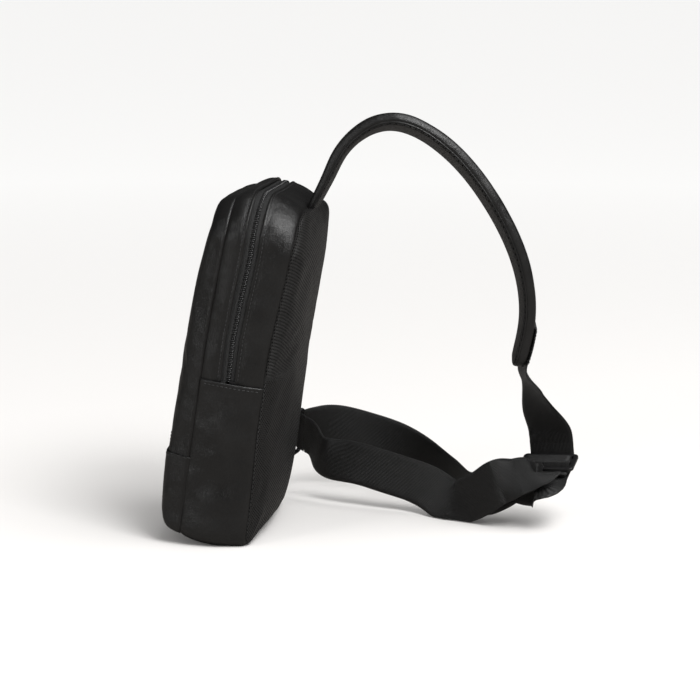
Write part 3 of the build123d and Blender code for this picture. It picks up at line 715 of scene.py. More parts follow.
leather_strip("gusset_front_leather", FRONT_SEAM_Y, ZIP_FRONT, 1, "gusset_front_strip")
leather_strip("gusset_rear_leather", BACK_SEAM_Y, ZIP_BACK, 5, "gusset_rear_strip")


# ---------------------------------------------------------------- panel round the base and sides
BASE_DENTS = ((42, 2.0), (19, 1.1))  # (size, depth)
LIP_PUCKER = 0.6  # depth and pitch of the puckers that hang from the stitched lip
LIP_PUCKER_PITCH = 5.1


def base_columns():
    """Distance below the nearer lip and inset at each column from lip to lip, with its u."""
    lip = [(7.0, 0.35), (2.0, 0.3), (0.4, 0.1), (-0.3, -0.5), (-0.2, -1.1), (0.8, -1.45)]
    lip += [(2.2, -1.5), (STITCH_IN, -1.2), (4.4, -1.45)]
    body = np.linspace(6.5, LIP_U * RIM_LENGTH, 70)[:-1]
    down = [d for d, i in lip] + list(body)
    inset_u = [i for d, i in lip] + [-1.1] * len(body)
    near = LIP_U - np.array(down) * UP_ONE
    u = np.concatenate([near, -near[::-1]])
    inset_u = np.concatenate([inset_u, inset_u[::-1]])
    return np.concatenate([down, down[::-1]]), inset_u, u


def base_profile():
    """(y, inset) across the panel, tucked into the front and back seams."""
    profile = [(FRONT_SEAM_Y + 1.4, 4.6), (FRONT_SEAM_Y + 0.2, 3.4), (FRONT_SEAM_Y, 2.2)]
    profile += [(FRONT_SEAM_Y + 0.6, 1.0), (FRONT_SEAM_Y + 1.8, 0.3)]
    inner = np.linspace(FRONT_SEAM_Y + 3.6, BACK_SEAM_Y - 3.6, 22)
    middle = (FRONT_SEAM_Y + BACK_SEAM_Y) / 2
    reach = (BACK_SEAM_Y - FRONT_SEAM_Y) / 2
    profile += [(y, -0.9 * (1 - ((y - middle) / reach) ** 2)) for y in inner]
    profile += [(-y, i) for y, i in profile[4::-1]]
    return np.array(profile)


def base_panel():
    """Leather from lip to lip under the pouch, with soft dents and a turned upper edge."""
    down, inset_u, u = base_columns()
    profile = base_profile()
    y = profile[:, 0][:, None]
    inset = profile[:, 1][:, None] + inset_u[None, :]
    flat = rim(u[None, :], y, 0.0)
    on_face = np.clip((2.0 - profile[:, 1]) / 2.0, 0, 1)[:, None]
    below = np.clip((down - 5) / 14, 0, 1)[None, :]
    sole = np.clip((flat[..., 2] / MM) / 12, 0, 1)
    inset = inset - dents(flat, BASE_DENTS, 11) * on_face * below * sole
    hang = np.exp(-(((down - 9) / 7) ** 2))[None, :]
    puckers = np.sin(y / LIP_PUCKER_PITCH + 2.2 * smooth_noise(flat, 30, 15))
    inset = inset - LIP_PUCKER * hang * on_face * puckers
    points = rim(u[None, :], y, inset)
    points[..., 2] = np.maximum(points[..., 2], 0.15 * MM)
    column = int(np.argmin(np.abs(down[: len(down) // 2] - STITCH_IN)))
    shown = slice(5, len(profile) - 5)
    proud = rim(u[None, :], y, inset - 0.2)
    rows = [proud[shown, column], proud[shown, len(u) - 1 - column]]
    thing = from_grid("side_base_leather", points)
    thicken(thing, 0.8)
    inside = ("base_board", "main_lining", "inner_pocket")
    dress(thing, LEATHER, "bag", "leather", "side_base_panel", *inside)
    dress(stitches("base_lip_stitches", rows), THREAD, "bag", "leather")


base_panel()


# ---------------------------------------------------------------- padded front and back
FRONT_BELLY = ((0, 1.0), (25, 2.6), (75, 3.6), (150, 1.6), (230, 0), (307, -1.5))  # (height, extra depth)
TUCK = ((4.5, -2.2), (2.6, -1.6), (1.0, -0.6))  # (inset, rise) where a panel turns into its seam
PANEL_INSETS = (0.6, 0.9, 1.4, 2.1, 3.0, 4.2, 5.8, 8, 11, 15, 20, 26, 33, 41, 50, 59, 68, 75, 79.5)


def panel_rise(local, inset, edge, soft, dome):
    """Height of a padded panel over its seam: a rounded edge, then a slow dome to the middle."""
    padded = edge * (1 - np.exp(-(inset - PANEL_INSETS[0]) / soft))
    across = 1 - (2 * local[..., 0] / WIDTH) ** 2
    upright = 1 - np.abs(2 * local[..., 2] / HEIGHT - 1) ** 5
    return padded + dome * across * upright


ZIP_FACE_Y = -55.6  # the front is flattened here round its pocket zip
FRONT_ZIP_Z = 81.0
FRONT_ZIP_HALF = 53.0
HOLD_HEIGHT = 9.0  # the zip holds the leather flat this far up and down, and lets go over as much
HOLD_ENDS = 12.0


def zip_window(local):
    """How firmly the sewn-in pocket zip holds the front at each point, from 0 to 1."""
    window = ease(2 - np.abs(local[..., 2] - FRONT_ZIP_Z) / HOLD_HEIGHT)
    window = window * ease(1 - (np.abs(local[..., 0]) - FRONT_ZIP_HALF - 4) / HOLD_ENDS)
    return window * (local[..., 1] < 0)


SPINE_FADE = 34.0  # the narrow faces along a panel's middle line are kept calm over this width
PANEL_COLUMNS = 300
PANEL_DENTS = ((60, 1.6), (24, 0.6))  # (size, depth)
PANEL_PRESSURE = 1.0
PANEL_SLACK = 0.0025  # how much wider the leather is cut than the space it fills


def panel_uv(local, unroll):
    """Flat position of points of a padded panel, in metres, with its edge unrolled outwards."""
    across = local[..., 0] + np.sign(local[..., 0]) * unroll
    up = local[..., 2] + np.sign(local[..., 2] - HEIGHT / 2) * unroll * 0.6
    return np.stack([across, up], -1) * MM


def pillow(name, seam, edge, soft, dome, seed, wrinkle, belly=((0, 0),)):
    """Padded panel from its seam inwards: edge, soft and dome as for panel_rise."""
    out = -1 if seam < 0 else 1
    inset = np.array([i for i, r in TUCK] + list(PANEL_INSETS))
    u = np.arange(PANEL_COLUMNS) / PANEL_COLUMNS
    flat = rim(u[None, :], np.full(len(inset), seam)[:, None], inset[:, None])
    local = pouch(flat)
    rise = panel_rise(local, inset[:, None], edge, soft, dome)
    rise[: len(TUCK)] = np.array([r for i, r in TUCK])[:, None]
    waves = dents(flat, PANEL_DENTS, seed)
    free = np.clip((np.arange(len(inset)) - len(TUCK) + 1) / 7, 0, 1)[:, None]
    more = np.interp(local[..., 2], *zip(*belly)) * free
    local[..., 1] += out * (rise + more + waves * wrinkle * free)
    window = zip_window(local)
    local[..., 1] += window * (np.maximum(local[..., 1], ZIP_FACE_Y) - local[..., 1])
    points = world(local[..., 0], local[..., 1], local[..., 2])
    uv = panel_uv(local, edge + dome - rise)
    thing = from_grid(name, points, closed=True, uv=uv, caps=1)
    loose = ease((inset.max() - 4 - inset) / SPINE_FADE)[:, None] * (1 - window)
    kept = np.zeros(len(thing.data.vertices))
    kept[: loose.size] = loose.ravel()
    held = list(range((len(TUCK) + 2) * PANEL_COLUMNS))
    settle(thing, held, kept, PANEL_PRESSURE, PANEL_SLACK)
    return thing


front = pillow("front_leather", FRONT_SEAM_Y, 15.0, 3.4, 7.0, 21, 0.7, FRONT_BELLY)
overlay = front.copy()
overlay.data = front.data.copy()
overlay.name = "front_overlay_leather"
bpy.context.scene.collection.objects.link(overlay)
thicken(front, 0.8)
dress(front, LEATHER, "bag", "leather", "front_panel", "front_pocket_lining", "pocket_divider")

back = pillow("back_air_mesh", BACK_SEAM_Y, 5.0, 3.5, 12.8, 31, 0.4)
thicken(back, 1.2)
dress(back, AIR_MESH, "bag", "air_mesh", "back_mesh", "back_foam", "back_board", "back_lining")


# ---------------------------------------------------------------- overlay on the lower front
OVERLAY_THICK = 1.7
EDGE_ROLL = 0.5  # the turned edge lies this much lower than the rest
SPINE_HALF = 5.0  # faces crowd together this near the panel's middle line
SPINE_MERGE = 1.2


def front_point(tree, x, z, proud=0.0):
    """Point on a surface in front of x and z of the pouch's frame, proud of it by some millimetres."""
    start = Vector(world(x, -120.0, z))
    ahead = Vector(world(x, 0.0, z)) - start
    hit, normal = tree.ray_cast(start, ahead.normalized())[:2]
    if normal.dot(ahead) > 0:
        normal = -normal
    return np.array(hit + normal * (proud * MM))


def cut_overlay(thing):
    """Cuts a copy of the front off at the overlay's upper edge and lifts it off the front."""
    mesh = bmesh.new()
    mesh.from_mesh(thing.data)
    top = Vector(world(0.0, 0.0, OVERLAY_Z))
    up = Vector(UPWARD)
    for level in (OVERLAY_Z - EDGE_ROLL, OVERLAY_Z):
        bmesh.ops.bisect_plane(
            mesh,
            geom=list(mesh.verts) + list(mesh.edges) + list(mesh.faces),
            plane_co=Vector(world(0.0, 0.0, level)),
            plane_no=up,
            clear_outer=level == OVERLAY_Z,
        )
    spine = [vert for vert in mesh.verts if abs(vert.co.x) < SPINE_HALF * MM]
    bmesh.ops.remove_doubles(mesh, verts=spine, dist=SPINE_MERGE * MM)
    bmesh.ops.recalc_face_normals(mesh, faces=mesh.faces)
    mesh.normal_update()
    for vert in mesh.verts:
        rolled = EDGE_ROLL if (vert.co - top).dot(up) > -0.1 * MM else 0.0
        vert.co += vert.normal * ((OVERLAY_THICK - rolled) * MM)
    mesh.to_mesh(thing.data)
    mesh.free()


cut_overlay(overlay)
thicken(overlay, OVERLAY_THICK)
dress(overlay, LEATHER, "bag", "leather", "front_overlay")
overlay_tree = BVHTree.FromObject(overlay, bpy.context.evaluated_depsgraph_get())
lip_x = np.linspace(-WIDTH / 2 + 9, WIDTH / 2 - 9, 90)
lip_row = [front_point(overlay_tree, x, OVERLAY_Z - STITCH_IN, 0.15) for x in lip_x]
dress(stitches("overlay_stitches", [lip_row]), THREAD, "bag", "leather")


# ---------------------------------------------------------------- zips
TAPE_INSET = 2.6
COIL_HALF = 2.4
TOOTH_PITCH = 1.6
TOOTH_RADIUS = 0.6


def tooth_rows(name, points, sideways, scale=1.0):
    """Rows of interlocking coil teeth along a path, for both halves of a closed zip."""
    mesh = bmesh.new()
    profile = ((-1.0, 0.3), (-0.85, 0.9), (0.0, 1.0), (0.85, 0.9), (1.0, 0.3))
    across = Vector(sideways)
    reach = 0.72 * COIL_HALF * scale
    for k, centre in enumerate(along_path(points, TOOTH_PITCH * scale * MM)[0]):
        hand = 1 if k % 2 else -1
        middle = Vector(centre) + across * (hand * 0.12 * COIL_HALF * MM)
        rounded_rod(mesh, middle, across, reach, TOOTH_RADIUS * scale, profile, 8)
    for face in mesh.faces:
        face.smooth = True
    return to_object(name, mesh)


def main_tape(name, side, node):
    """One tape of the main zip, from lip to lip over the top. side is -1 in front and 1 behind."""
    low = LIP_U - 9 * UP_ONE
    u = np.linspace(low, 1 - low, 260)
    y = CREST_Y + side * np.array([1.0, 2.2, 3.2, 5.0, 8.0, 15.0])[:, None]
    inset = TAPE_INSET + np.array([0.25, 0.1, 0.0, 0.0, 0.1, 0.3])[:, None]
    points = rim(u[None, :], y, inset)
    length = u * RIM_LENGTH * MM
    uv = np.stack(np.broadcast_arrays(length[None, :], y * MM), -1)
    thing = from_grid(name, points, uv=uv)
    thicken(thing, 0.6)
    return dress(thing, TAPE, "bag", "zip_tape", node)


main_tape("zip_tape_front_cloth", -1, "zip_tape_front")
main_tape("zip_tape_rear_cloth", 1, "zip_tape_rear")
coil_u = np.linspace(LIP_U + UP_ONE, 1 - LIP_U - UP_ONE, 500)
coil_path = rim(coil_u, CREST_Y, TAPE_INSET - 0.55)
coil = tooth_rows("zip_coil", coil_path, BACKWARD)
dress(coil, COIL, "bag", "zip_coil", "zip_coil_front", "zip_coil_rear")


# ---------------------------------------------------------------- front pocket zip
FRONT_OPENING = 4.3  # half of the opening's height
FRONT_ZIP_SCALE = 0.75  # of the main zip
WELT = 3.2  # width of the leather frame, where its stitches run, and how proud it stands
WELT_STITCH_OUT = 2.2
WELT_PROUD = 1.1


def zip_ring():
    """Rounded rectangle round the pocket zip, with its outward directions, as (x, z) pairs."""
    radius = 1.5
    signs = np.array([(1, 1), (-1, 1), (-1, -1), (1, -1)])
    centres = signs * (FRONT_ZIP_HALF - radius, FRONT_OPENING - radius) + (0, FRONT_ZIP_Z)
    points, ways = [], []
    for k, centre in enumerate(centres):
        for angle in np.linspace(0, math.pi / 2, 7) + k * math.pi / 2:
            way = np.array([math.cos(angle), math.sin(angle)])
            points.append(centre + way * radius)
            ways.append(way)
        steps = (30, 2)[k % 2]
        for part in np.linspace(0, 1, steps + 2)[1:-1]:
            points.append(centre * (1 - part) + centres[(k + 1) % 4] * part + way * radius)
            ways.append(way)
    return np.array(points), np.array(ways)


def front_welt():
    """Stitched leather frame round the pocket zip. Profile pairs are (outwards, depth)."""
    profile = ((-0.1, 1.0), (0, 0.1), (0.15, -0.6), (0.6, -1.0), (1.6, -1.05), (2.6, -0.85), (WELT, 0.4))
    points, ways = zip_ring()
    rows = []
    for out, deep in profile:
        at = points + ways * out
        rows.append(world(at[:, 0], ZIP_FACE_Y + deep, at[:, 1]))
    thing = from_grid("front_zip_welt", np.stack(rows, 0), closed=True)
    thicken(thing, 0.4)
    dress(thing, LEATHER, "bag", "leather")
    seam = points + ways * WELT_STITCH_OUT
    seam = np.concatenate([seam, seam[:1]])
    row = world(seam[:, 0], ZIP_FACE_Y - WELT_PROUD, seam[:, 1])
    dress(stitches("front_zip_stitches", [row], pitch=3.0, length=2.1), THREAD, "bag", "leather")


def front_zip():
    """Tape and coil behind the pocket's opening."""
    x = np.linspace(-FRONT_ZIP_HALF - 1, FRONT_ZIP_HALF + 1, 80)
    z = FRONT_ZIP_Z + np.linspace(-FRONT_OPENING - 1, FRONT_OPENING + 1, 9)
    points = world(x[None, :], ZIP_FACE_Y - 0.25, z[:, None])
    uv = np.stack(np.broadcast_arrays(x[None, :] * MM, z[:, None] * MM), -1)
    tape = from_grid("front_zip_tape", points, uv=uv)
    thicken(tape, 0.4)
    dress(tape, TAPE, "bag", "zip_tape", "front_tape_lower", "front_tape_upper")
    line = world(np.linspace(-FRONT_ZIP_HALF + 3, FRONT_ZIP_HALF - 3, 90), ZIP_FACE_Y - 0.55, FRONT_ZIP_Z)
    teeth = tooth_rows("front_zip_coil", line, UPWARD, FRONT_ZIP_SCALE)
    dress(teeth, COIL, "bag", "zip_coil", "front_coil_lower", "front_coil_upper")


front_welt()
front_zip()


# ---------------------------------------------------------------- cord sunk in the two long seams
def seam_cord(name, seam, inset, radius, material, slot, *nodes):
    """Closed cord that follows a seam right round the pouch."""
    u = np.arange(420) / 420
    centre = rim(u, seam, inset)
    angle = np.linspace(0, math.tau, 9)[:-1]
    toward = unit(rim(u, seam, inset - 1.0) - centre)
    points = [centre + (toward * math.cos(a) + BACKWARD * math.sin(a)) * radius * MM for a in angle]
    points = np.stack(points + points[:1], 0)
    return dress(from_grid(name, points, closed=True), material, "bag", slot, *nodes)


seam_cord("front_seam_cord", FRONT_SEAM_Y - 0.2, 2.3, 1.0, LEATHER, "leather", "front_seam_binding")
seam_cord("back_seam_cord", BACK_SEAM_Y + 0.1, 3.0, 1.0, BINDING, "binding", "back_seam_binding")


# ---------------------------------------------------------------- curves for strap and webbing
def smooth_curve(points, step):
    """Points every step along a natural cubic through the given ones, with each one's knot share."""
    points = np.asarray(points, float)
    knots = run_lengths(points)
    gaps = np.diff(knots)
    size = len(points)
    matrix = np.eye(size)
    right = np.zeros_like(points)
    for k in range(1, size - 1):
        matrix[k, k - 1 : k + 2] = gaps[k - 1], 2 * (gaps[k - 1] + gaps[k]), gaps[k]
        slopes = (points[k + 1] - points[k]) / gaps[k], (points[k] - points[k - 1]) / gaps[k - 1]
        right[k] = 6 * (slopes[0] - slopes[1])
    bend = np.linalg.solve(matrix, right)
    stops = np.linspace(0, knots[-1], max(int(knots[-1] / step), 2))
    k = np.clip(np.searchsorted(knots, stops, side="right") - 1, 0, size - 2)
    gap = gaps[k][:, None]
    after = (stops - knots[k])[:, None]
    before = gap - after
    path = (bend[k] * before**3 + bend[k + 1] * after**3) / (6 * gap)
    path += (points[k] / gap - bend[k] * gap / 6) * before
    path += (points[k + 1] / gap - bend[k + 1] * gap / 6) * after
    return path, k + (after / gap)[:, 0]


def directions(path):
    """Unit directions along a path at each of its points."""
    return unit(np.gradient(path, axis=0))


def spread(values, spots):
    """Values given at stations, read at fractional spots between them."""
    values = np.asarray(values, float)
    k = np.clip(spots.astype(int), 0, len(values) - 2)
    part = (spots - k).reshape((-1,) + (1,) * (values.ndim - 1))
    return values[k] * (1 - part) + values[k + 1] * part


def sections(path, wide, profile):
    """World points of a profile of (across, out) pairs carried along a path. Profile may vary."""
    along = directions(path)
    wide = unit(wide - along * (wide * along).sum(1, keepdims=True))
    out = np.cross(wide, along)
    profile = np.asarray(profile, float)
    if profile.ndim == 2:
        profile = np.repeat(profile[None], len(path), 0)
    offset = wide[:, None, :] * profile[..., :1] + out[:, None, :] * profile[..., 1:]
    return (path[:, None, :] + offset) * MM


# ---------------------------------------------------------------- padded strap
STRAP_THICK = 13.0
STRAP_WIDTHS = [43, 47, 54, 58, 58, 57, 54, 50, 46, 43]
ROOT_Z = 293.0
STRAP_ROOT = world(0.0, BACK_SEAM_Y + 1.0, ROOT_Z) / MM
ROOT_WAY = np.array([0, 0.45, 0.89])  # the way the strap leaves the bag
ACROSS = np.array([1.0, 0, 0])  # across the strap at its root, and past its slight twist
EDGE_ON = np.array([0.973, 0.154, 0.174])
STRAP_POINTS = [
    STRAP_ROOT - ROOT_WAY * 5,
    STRAP_ROOT + ROOT_WAY * 12,
    STRAP_ROOT + ROOT_WAY * 29,
    (-4, 78, 334),
    (-9, 117, 359),
    (-13, 166, 339),
    (-17, 207, 291),
    (-21, 235, 229),
    (-25, 239, 186),
    (-30, 230.5, 145),
]
strap_path = smooth_curve(STRAP_POINTS, 3.0)[0]
strap_share = np.linspace(0, 1, len(strap_path))
twist = np.minimum(1, strap_share * 4)[:, None]
strap_wide = ACROSS * (1 - twist) + EDGE_ON * twist
strap_out = unit(np.cross(strap_wide, directions(strap_path)))
strap_half = spread(STRAP_WIDTHS, strap_share * (len(STRAP_WIDTHS) - 1)) / 2
strap_length = run_lengths(strap_path)
to_tip = strap_length[-1] - strap_length
TIP_RUN = 17.0  # the strap narrows to its tip over this length
TIP_THIN_RUN = 7.0  # and thins over this one
tip_wide = np.sqrt(1 - np.clip(1 - to_tip / TIP_RUN, 0, 0.985) ** 2.6)
tip_thick = np.sqrt(1 - np.clip(1 - to_tip / TIP_THIN_RUN, 0, 0.96) ** 2.4)
root_thick = 0.55 + 0.45 * np.clip(strap_length / 80, 0, 1) ** 0.8
strap_half = strap_half * tip_wide
strap_thick = STRAP_THICK * tip_thick * root_thick
SEAM_LEVEL = -0.25  # share of the thickness, from its middle to the seam along the strap's edge


def strap_profile(corners):
    """Profiles along the strap from (edge share, inwards mm, thickness share) triples on one side."""
    across = [s * (strap_half - i) for s, i, t in corners]
    out = [strap_thick * t for s, i, t in corners]
    return np.stack([np.stack(across, -1), np.stack(out, -1)], -1)


def arc_corners(side, low, high, bulge, steps=7):
    """Rounded edge from the low to the high share of the thickness."""
    corners = []
    for k in range(steps + 1):
        angle = math.pi / 2 * k / steps
        inwards = bulge * (1 - math.cos(angle) ** 0.8)
        corners.append((side, inwards, low + (high - low) * math.sin(angle) ** 0.9))
    return corners


def flat_corners(level, crown, edge, count=14):
    """Across the strap from the -1 side to the +1 side at a level, with a soft crown."""
    corners = []
    for k in range(1, count):
        s = -1 + 2 * k / count
        corners.append((s, edge * abs(s), level + crown * (1 - s * s)))
    return corners


def strap_mesh(name, corners, material, slot, *nodes, seed=0, rough=0.0):
    """A closed skin along the strap, with dents of the given depth."""
    profile = strap_profile(corners)
    points = sections(strap_path, strap_wide, profile)
    if rough:
        bump = smooth_noise(points, 26, seed) * rough * MM
        points = points + strap_out[:, None, :] * bump[..., None]
    uv = np.stack(np.broadcast_arrays(strap_length[:, None], profile[..., 0]), -1) * MM
    thing = from_grid(name, points, closed=True, uv=uv, caps=2)
    dress(thing, material, None, slot, *nodes)
    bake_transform(thing)
    return thing


COVERED = ("strap_cover", "strap_foam", "strap_root")
cover = [(-1, 3.0, SEAM_LEVEL + 0.02), (-1, 0.9, SEAM_LEVEL + 0.03)]
cover += arc_corners(-1, SEAM_LEVEL + 0.08, 0.42, 5.5)
cover += flat_corners(0.42, 0.08, 5.5)
cover += arc_corners(1, SEAM_LEVEL + 0.08, 0.42, 5.5)[::-1]
cover += [(1, 0.9, SEAM_LEVEL + 0.03), (1, 3.0, SEAM_LEVEL + 0.02)]
strap_mesh("strap_leather", cover, LEATHER, "leather", *COVERED, seed=41, rough=0.45)

under = [(-1, 3.0, SEAM_LEVEL), (-1, 1.3, SEAM_LEVEL - 0.03)]
under += arc_corners(-1, SEAM_LEVEL - 0.06, -0.45, 4.5)[1:]
under += flat_corners(-0.45, -0.05, 4.5)
under += arc_corners(1, SEAM_LEVEL - 0.06, -0.45, 4.5)[:0:-1]
under += [(1, 1.3, SEAM_LEVEL - 0.03), (1, 3.0, SEAM_LEVEL)]
strap_mesh("strap_mesh_lining", under, AIR_MESH, "air_mesh", "strap_underside")


def strap_cord(name, side):
    """Round cord sewn in along one edge of the strap."""
    corners = []
    for k in range(8):
        a = math.tau * k / 8
        corners.append((side, 0.6 - 0.95 * math.cos(a), SEAM_LEVEL - 0.005 + 0.075 * math.sin(a)))
    return strap_mesh(name, corners, LEATHER, "binding")


cords = [strap_cord(f"strap_piping_{label}", side) for label, side in (("near", 1), ("far", -1))]
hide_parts("strap_binding")


# ---------------------------------------------------------------- webbing
WEB_HALF = 20.0
WEB = 1.5
WEB_STEP = 0.8


def webbing(name, path, wide, node, widths=None, edge=0.12):
    """A run of webbing along a path, with the small loops of its weft showing at both edges."""
    count = len(path)
    half = np.full(count, WEB_HALF) if widths is None else np.asarray(widths) / 2
    half = half + edge * np.where(np.arange(count) % 2, 1, -1)
    columns = 12
    edge_s = np.concatenate([np.linspace(-1, 1, columns), np.linspace(1, -1, columns)])
    over = np.concatenate([np.ones(columns), -np.ones(columns)])
    slim = np.where(np.abs(edge_s) > 0.97, 0.45, 1.0)
    profile = np.stack(
        [half[:, None] * edge_s[None, :], np.repeat((over * slim * WEB / 2)[None], count, 0)], -1
    )
    points = sections(path, wide, profile)
    points[..., 2] = np.maximum(points[..., 2], (0.3 + 0.5 * WEB + profile[..., 1] * 0.8) * MM)
    uv = np.stack(np.broadcast_arrays(run_lengths(path)[:, None], profile[..., 0]), -1) * MM
    thing = from_grid(name, points, closed=True, uv=uv, caps=2)
    return dress(thing, WEBBING, None, "webbing", node)


def hung_webbing(name, stations, node):
    """Webbing through (position, width direction) stations."""
    path, spots = smooth_curve([at for at, wide in stations], WEB_STEP)
    wide = spread([unit(wide) for at, wide in stations], spots)
    return webbing(name, path, wide, node)


def rounded_line(points, radius, steps=8):
    """A line through 2-D points with its inner corners rounded."""
    points = np.asarray(points, float)
    line = [points[0]]
    for before, corner, after in zip(points, points[1:], points[2:]):
        back, on = unit(before - corner), unit(after - corner)
        half_angle = math.acos(np.clip(back @ on, -1, 1)) / 2
        room = min(np.linalg.norm(before - corner), np.linalg.norm(after - corner))
        trim = min(radius / math.tan(half_angle), 0.49 * room)
        start, end = corner + back * trim, corner + on * trim
        for t in np.linspace(0, 1, steps):
            line.append(start * (1 - t) ** 2 + corner * 2 * t * (1 - t) + end * t**2)
    line.append(points[-1])
    return np.array(line)


def evenly(line, step):
    """The same line with points about every step."""
    lengths = run_lengths(line)
    stops = np.linspace(0, lengths[-1], max(int(lengths[-1] / step), 3))
    return read_along(line, lengths, stops)


def threaded_webbing(name, line, at, x_way, y_way, wide, node):
    """Webbing along a 2-D line laid in the plane of x_way and y_way."""
    line = evenly(line, WEB_STEP)
    path = at + line[:, :1] * x_way + line[:, 1:] * y_way
    return webbing(name, path, np.repeat(wide[None], len(path), 0), node)


# adjuster
GLIDE_LENGTH = 27.0
GLIDE_AT = np.array([-42.0, 259, 55])
GLIDE_WIDE = unit([0.207, 0.971, 0.062])
GLIDE_RUN = np.array([0.943, -0.183, -0.298])
GLIDE_RUN = unit(GLIDE_RUN - GLIDE_WIDE * (GLIDE_RUN @ GLIDE_WIDE))
GLIDE_UP = np.cross(GLIDE_RUN, GLIDE_WIDE)
UNDER_BAR = -2.5
OVER_BAR = 4.45
SLOT_PASS = 5.05
TAIL_DROP = UNDER_BAR - 5
THREAD_END = GLIDE_LENGTH / 2 + 4


def glide_point(run, rise):
    """Place beside the adjuster, along its webbing and above it."""
    return GLIDE_AT + GLIDE_RUN * run + GLIDE_UP * rise


def in_adjuster(name, line, node):
    """Webbing threaded through the adjuster, which it follows."""
    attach(threaded_webbing(name, line, GLIDE_AT, GLIDE_RUN, GLIDE_UP, GLIDE_WIDE, node), "adjuster")


thread = rounded_line(
    [
        (-17, 12),
        (-15.1, UNDER_BAR),
        (-SLOT_PASS - 2, UNDER_BAR),
        (-SLOT_PASS, OVER_BAR),
        (SLOT_PASS, OVER_BAR),
        (SLOT_PASS + 2, UNDER_BAR),
        (THREAD_END, UNDER_BAR),
    ],
    1.5,
)
in_adjuster("webbing_in_adjuster", thread, "webbing_thread")
BAR_HALF = 3.2
fold = rounded_line(
    [
        (THREAD_END, TAIL_DROP),
        (1.5, TAIL_DROP),
        (-0.6, TAIL_DROP + 2.6),
        (-BAR_HALF, -2.1),
        (-BAR_HALF, 2.2),
        (BAR_HALF, 2.2),
        (BAR_HALF, -2.1),
        (0.6, -2.6),
    ],
    1.2,
)
in_adjuster("webbing_on_middle_bar", fold, "webbing_fold")

# ring, tab and the turn round the ring
TAB_BAR = world(-(WIDTH / 2 + 10), BACK_SEAM_Y - 1, 64.0) / MM
SWING = unit(STRAP_ROOT - TAB_BAR)
RING_WAY = np.array([-0.9, 0.43, 0])
RING_WAY = unit(RING_WAY - SWING * (RING_WAY @ SWING))
RING_ROOM = 14.0
BAR_AT = TAB_BAR + RING_WAY * RING_ROOM
LEGS_WAY = np.array([0.0, 1, 0])
LEGS_WAY = unit(LEGS_WAY - SWING * (LEGS_WAY @ SWING))
TURN_X = np.cross(LEGS_WAY, SWING)
TURN_Y = np.cross(SWING, TURN_X)
LEG_ANGLE = math.radians(35)
TURN_RADIUS = 3.0
LEG = 12.0
TURN_APEX = -TURN_RADIUS / math.sin(LEG_ANGLE)


def leg_point(side, along):
    """Point on one leg of the turn, in the turn's plane. The legs meet beyond the bar."""
    across = side * along * math.sin(LEG_ANGLE)
    return across, TURN_APEX + along * math.cos(LEG_ANGLE)


def ring_leg(side, extra):
    """Place past the end of one leg of the turn."""
    across, along = leg_point(side, LEG + extra)
    return BAR_AT + TURN_X * across + TURN_Y * along


turn = [leg_point(-1, LEG)]
for angle in np.linspace(-1, 1, 21) * (math.pi / 2):
    turn.append((TURN_RADIUS * math.sin(angle), -TURN_RADIUS * math.cos(angle)))
turn = np.array(turn + [leg_point(1, LEG)])
round_ring = threaded_webbing(
    "webbing_round_ring", turn, BAR_AT, TURN_X, TURN_Y, SWING, "webbing_ring_turn"
)
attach(round_ring, "strap")

UP = np.array([0.0, 0, 1])
SEWN_OUT = STRAP_THICK / 2 + 0.9
sewn = []
for back_mm in (38.0, 25.0, 12.0, 0.0):
    k = int(np.argmin(np.abs(to_tip - back_mm)))
    sewn.append((strap_path[k] + strap_out[k] * SEWN_OUT, strap_wide[k]))
hanging = [
    (np.array([-40, 243.5, 124]), EDGE_ON * 0.8 + GLIDE_WIDE * 0.2),
    (np.array([-47, 251, 99]), EDGE_ON * 0.35 + GLIDE_WIDE * 0.65),
    (glide_point(-17, 21), GLIDE_WIDE),
    (glide_point(-16.8, 10), GLIDE_WIDE),
]
to_ring = [
    (glide_point(THREAD_END, UNDER_BAR), -GLIDE_WIDE),
    ((-22, 251, 50), (-0.68, -0.66, 0.33)),
    ((-17, 233, 47), (-0.65, -0.52, 0.56)),
    ((-14, 216, 42), (-0.2, -0.3, 0.93)),
    ((-20, 203, 31.5), (-0.26, -0.44, 0.86)),
    ((-31, 187, 20.5), (-0.22, -0.38, 0.9)),
    ((-42, 172, 15.5), (-0.55, -0.3, 0.72)),
    ((-51, 157, 22), (-0.3, -0.05, 0.95)),
    ((-60, 132, 30.5), UP),
    ((-66, 107, 36), UP),
    ((-76, 73, 41.5), UP),
    ((-87, 46, 46), SWING * 0.5 + UP * 0.5),
    (ring_leg(1, 8), SWING),
    (ring_leg(1, 0), SWING),
]
to_bar = [
    (ring_leg(-1, 0), SWING),
    (ring_leg(-1, 8), SWING),
    ((-140, 77, 56), UP),
    ((-147, 111, 44), UP),
    ((-134, 147, 28), UP),
    ((-100, 171, 21), UP),
    ((-66, 187, 20.5), (-0.3, -0.3, 0.9)),
    ((-42, 200, 24), (-0.3, -0.42, 0.86)),
    ((-30, 216, 33), (-0.35, -0.4, 0.85)),
    ((-28, 234, 40), (-0.6, -0.6, 0.55)),
    (glide_point(THREAD_END + 8, TAIL_DROP - 1), -GLIDE_WIDE),
    (glide_point(THREAD_END, TAIL_DROP), -GLIDE_WIDE),
]
# the three free runs of webbing: from the strap's end to the adjuster, from the adjuster to the ring, and
# from the ring back to the adjuster
upper = hung_webbing("webbing_hanging", sewn + hanging, "webbing_upper")
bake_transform(upper)
near = hung_webbing("webbing_to_ring", to_ring, "webbing_near_run")
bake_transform(near)
far = hung_webbing("webbing_from_ring", to_bar, "webbing_far_run")
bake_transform(far)


SEWN_FROM = 3.0  # from the strap's tip to the box's near and far ends
SEWN_TO = 36.0


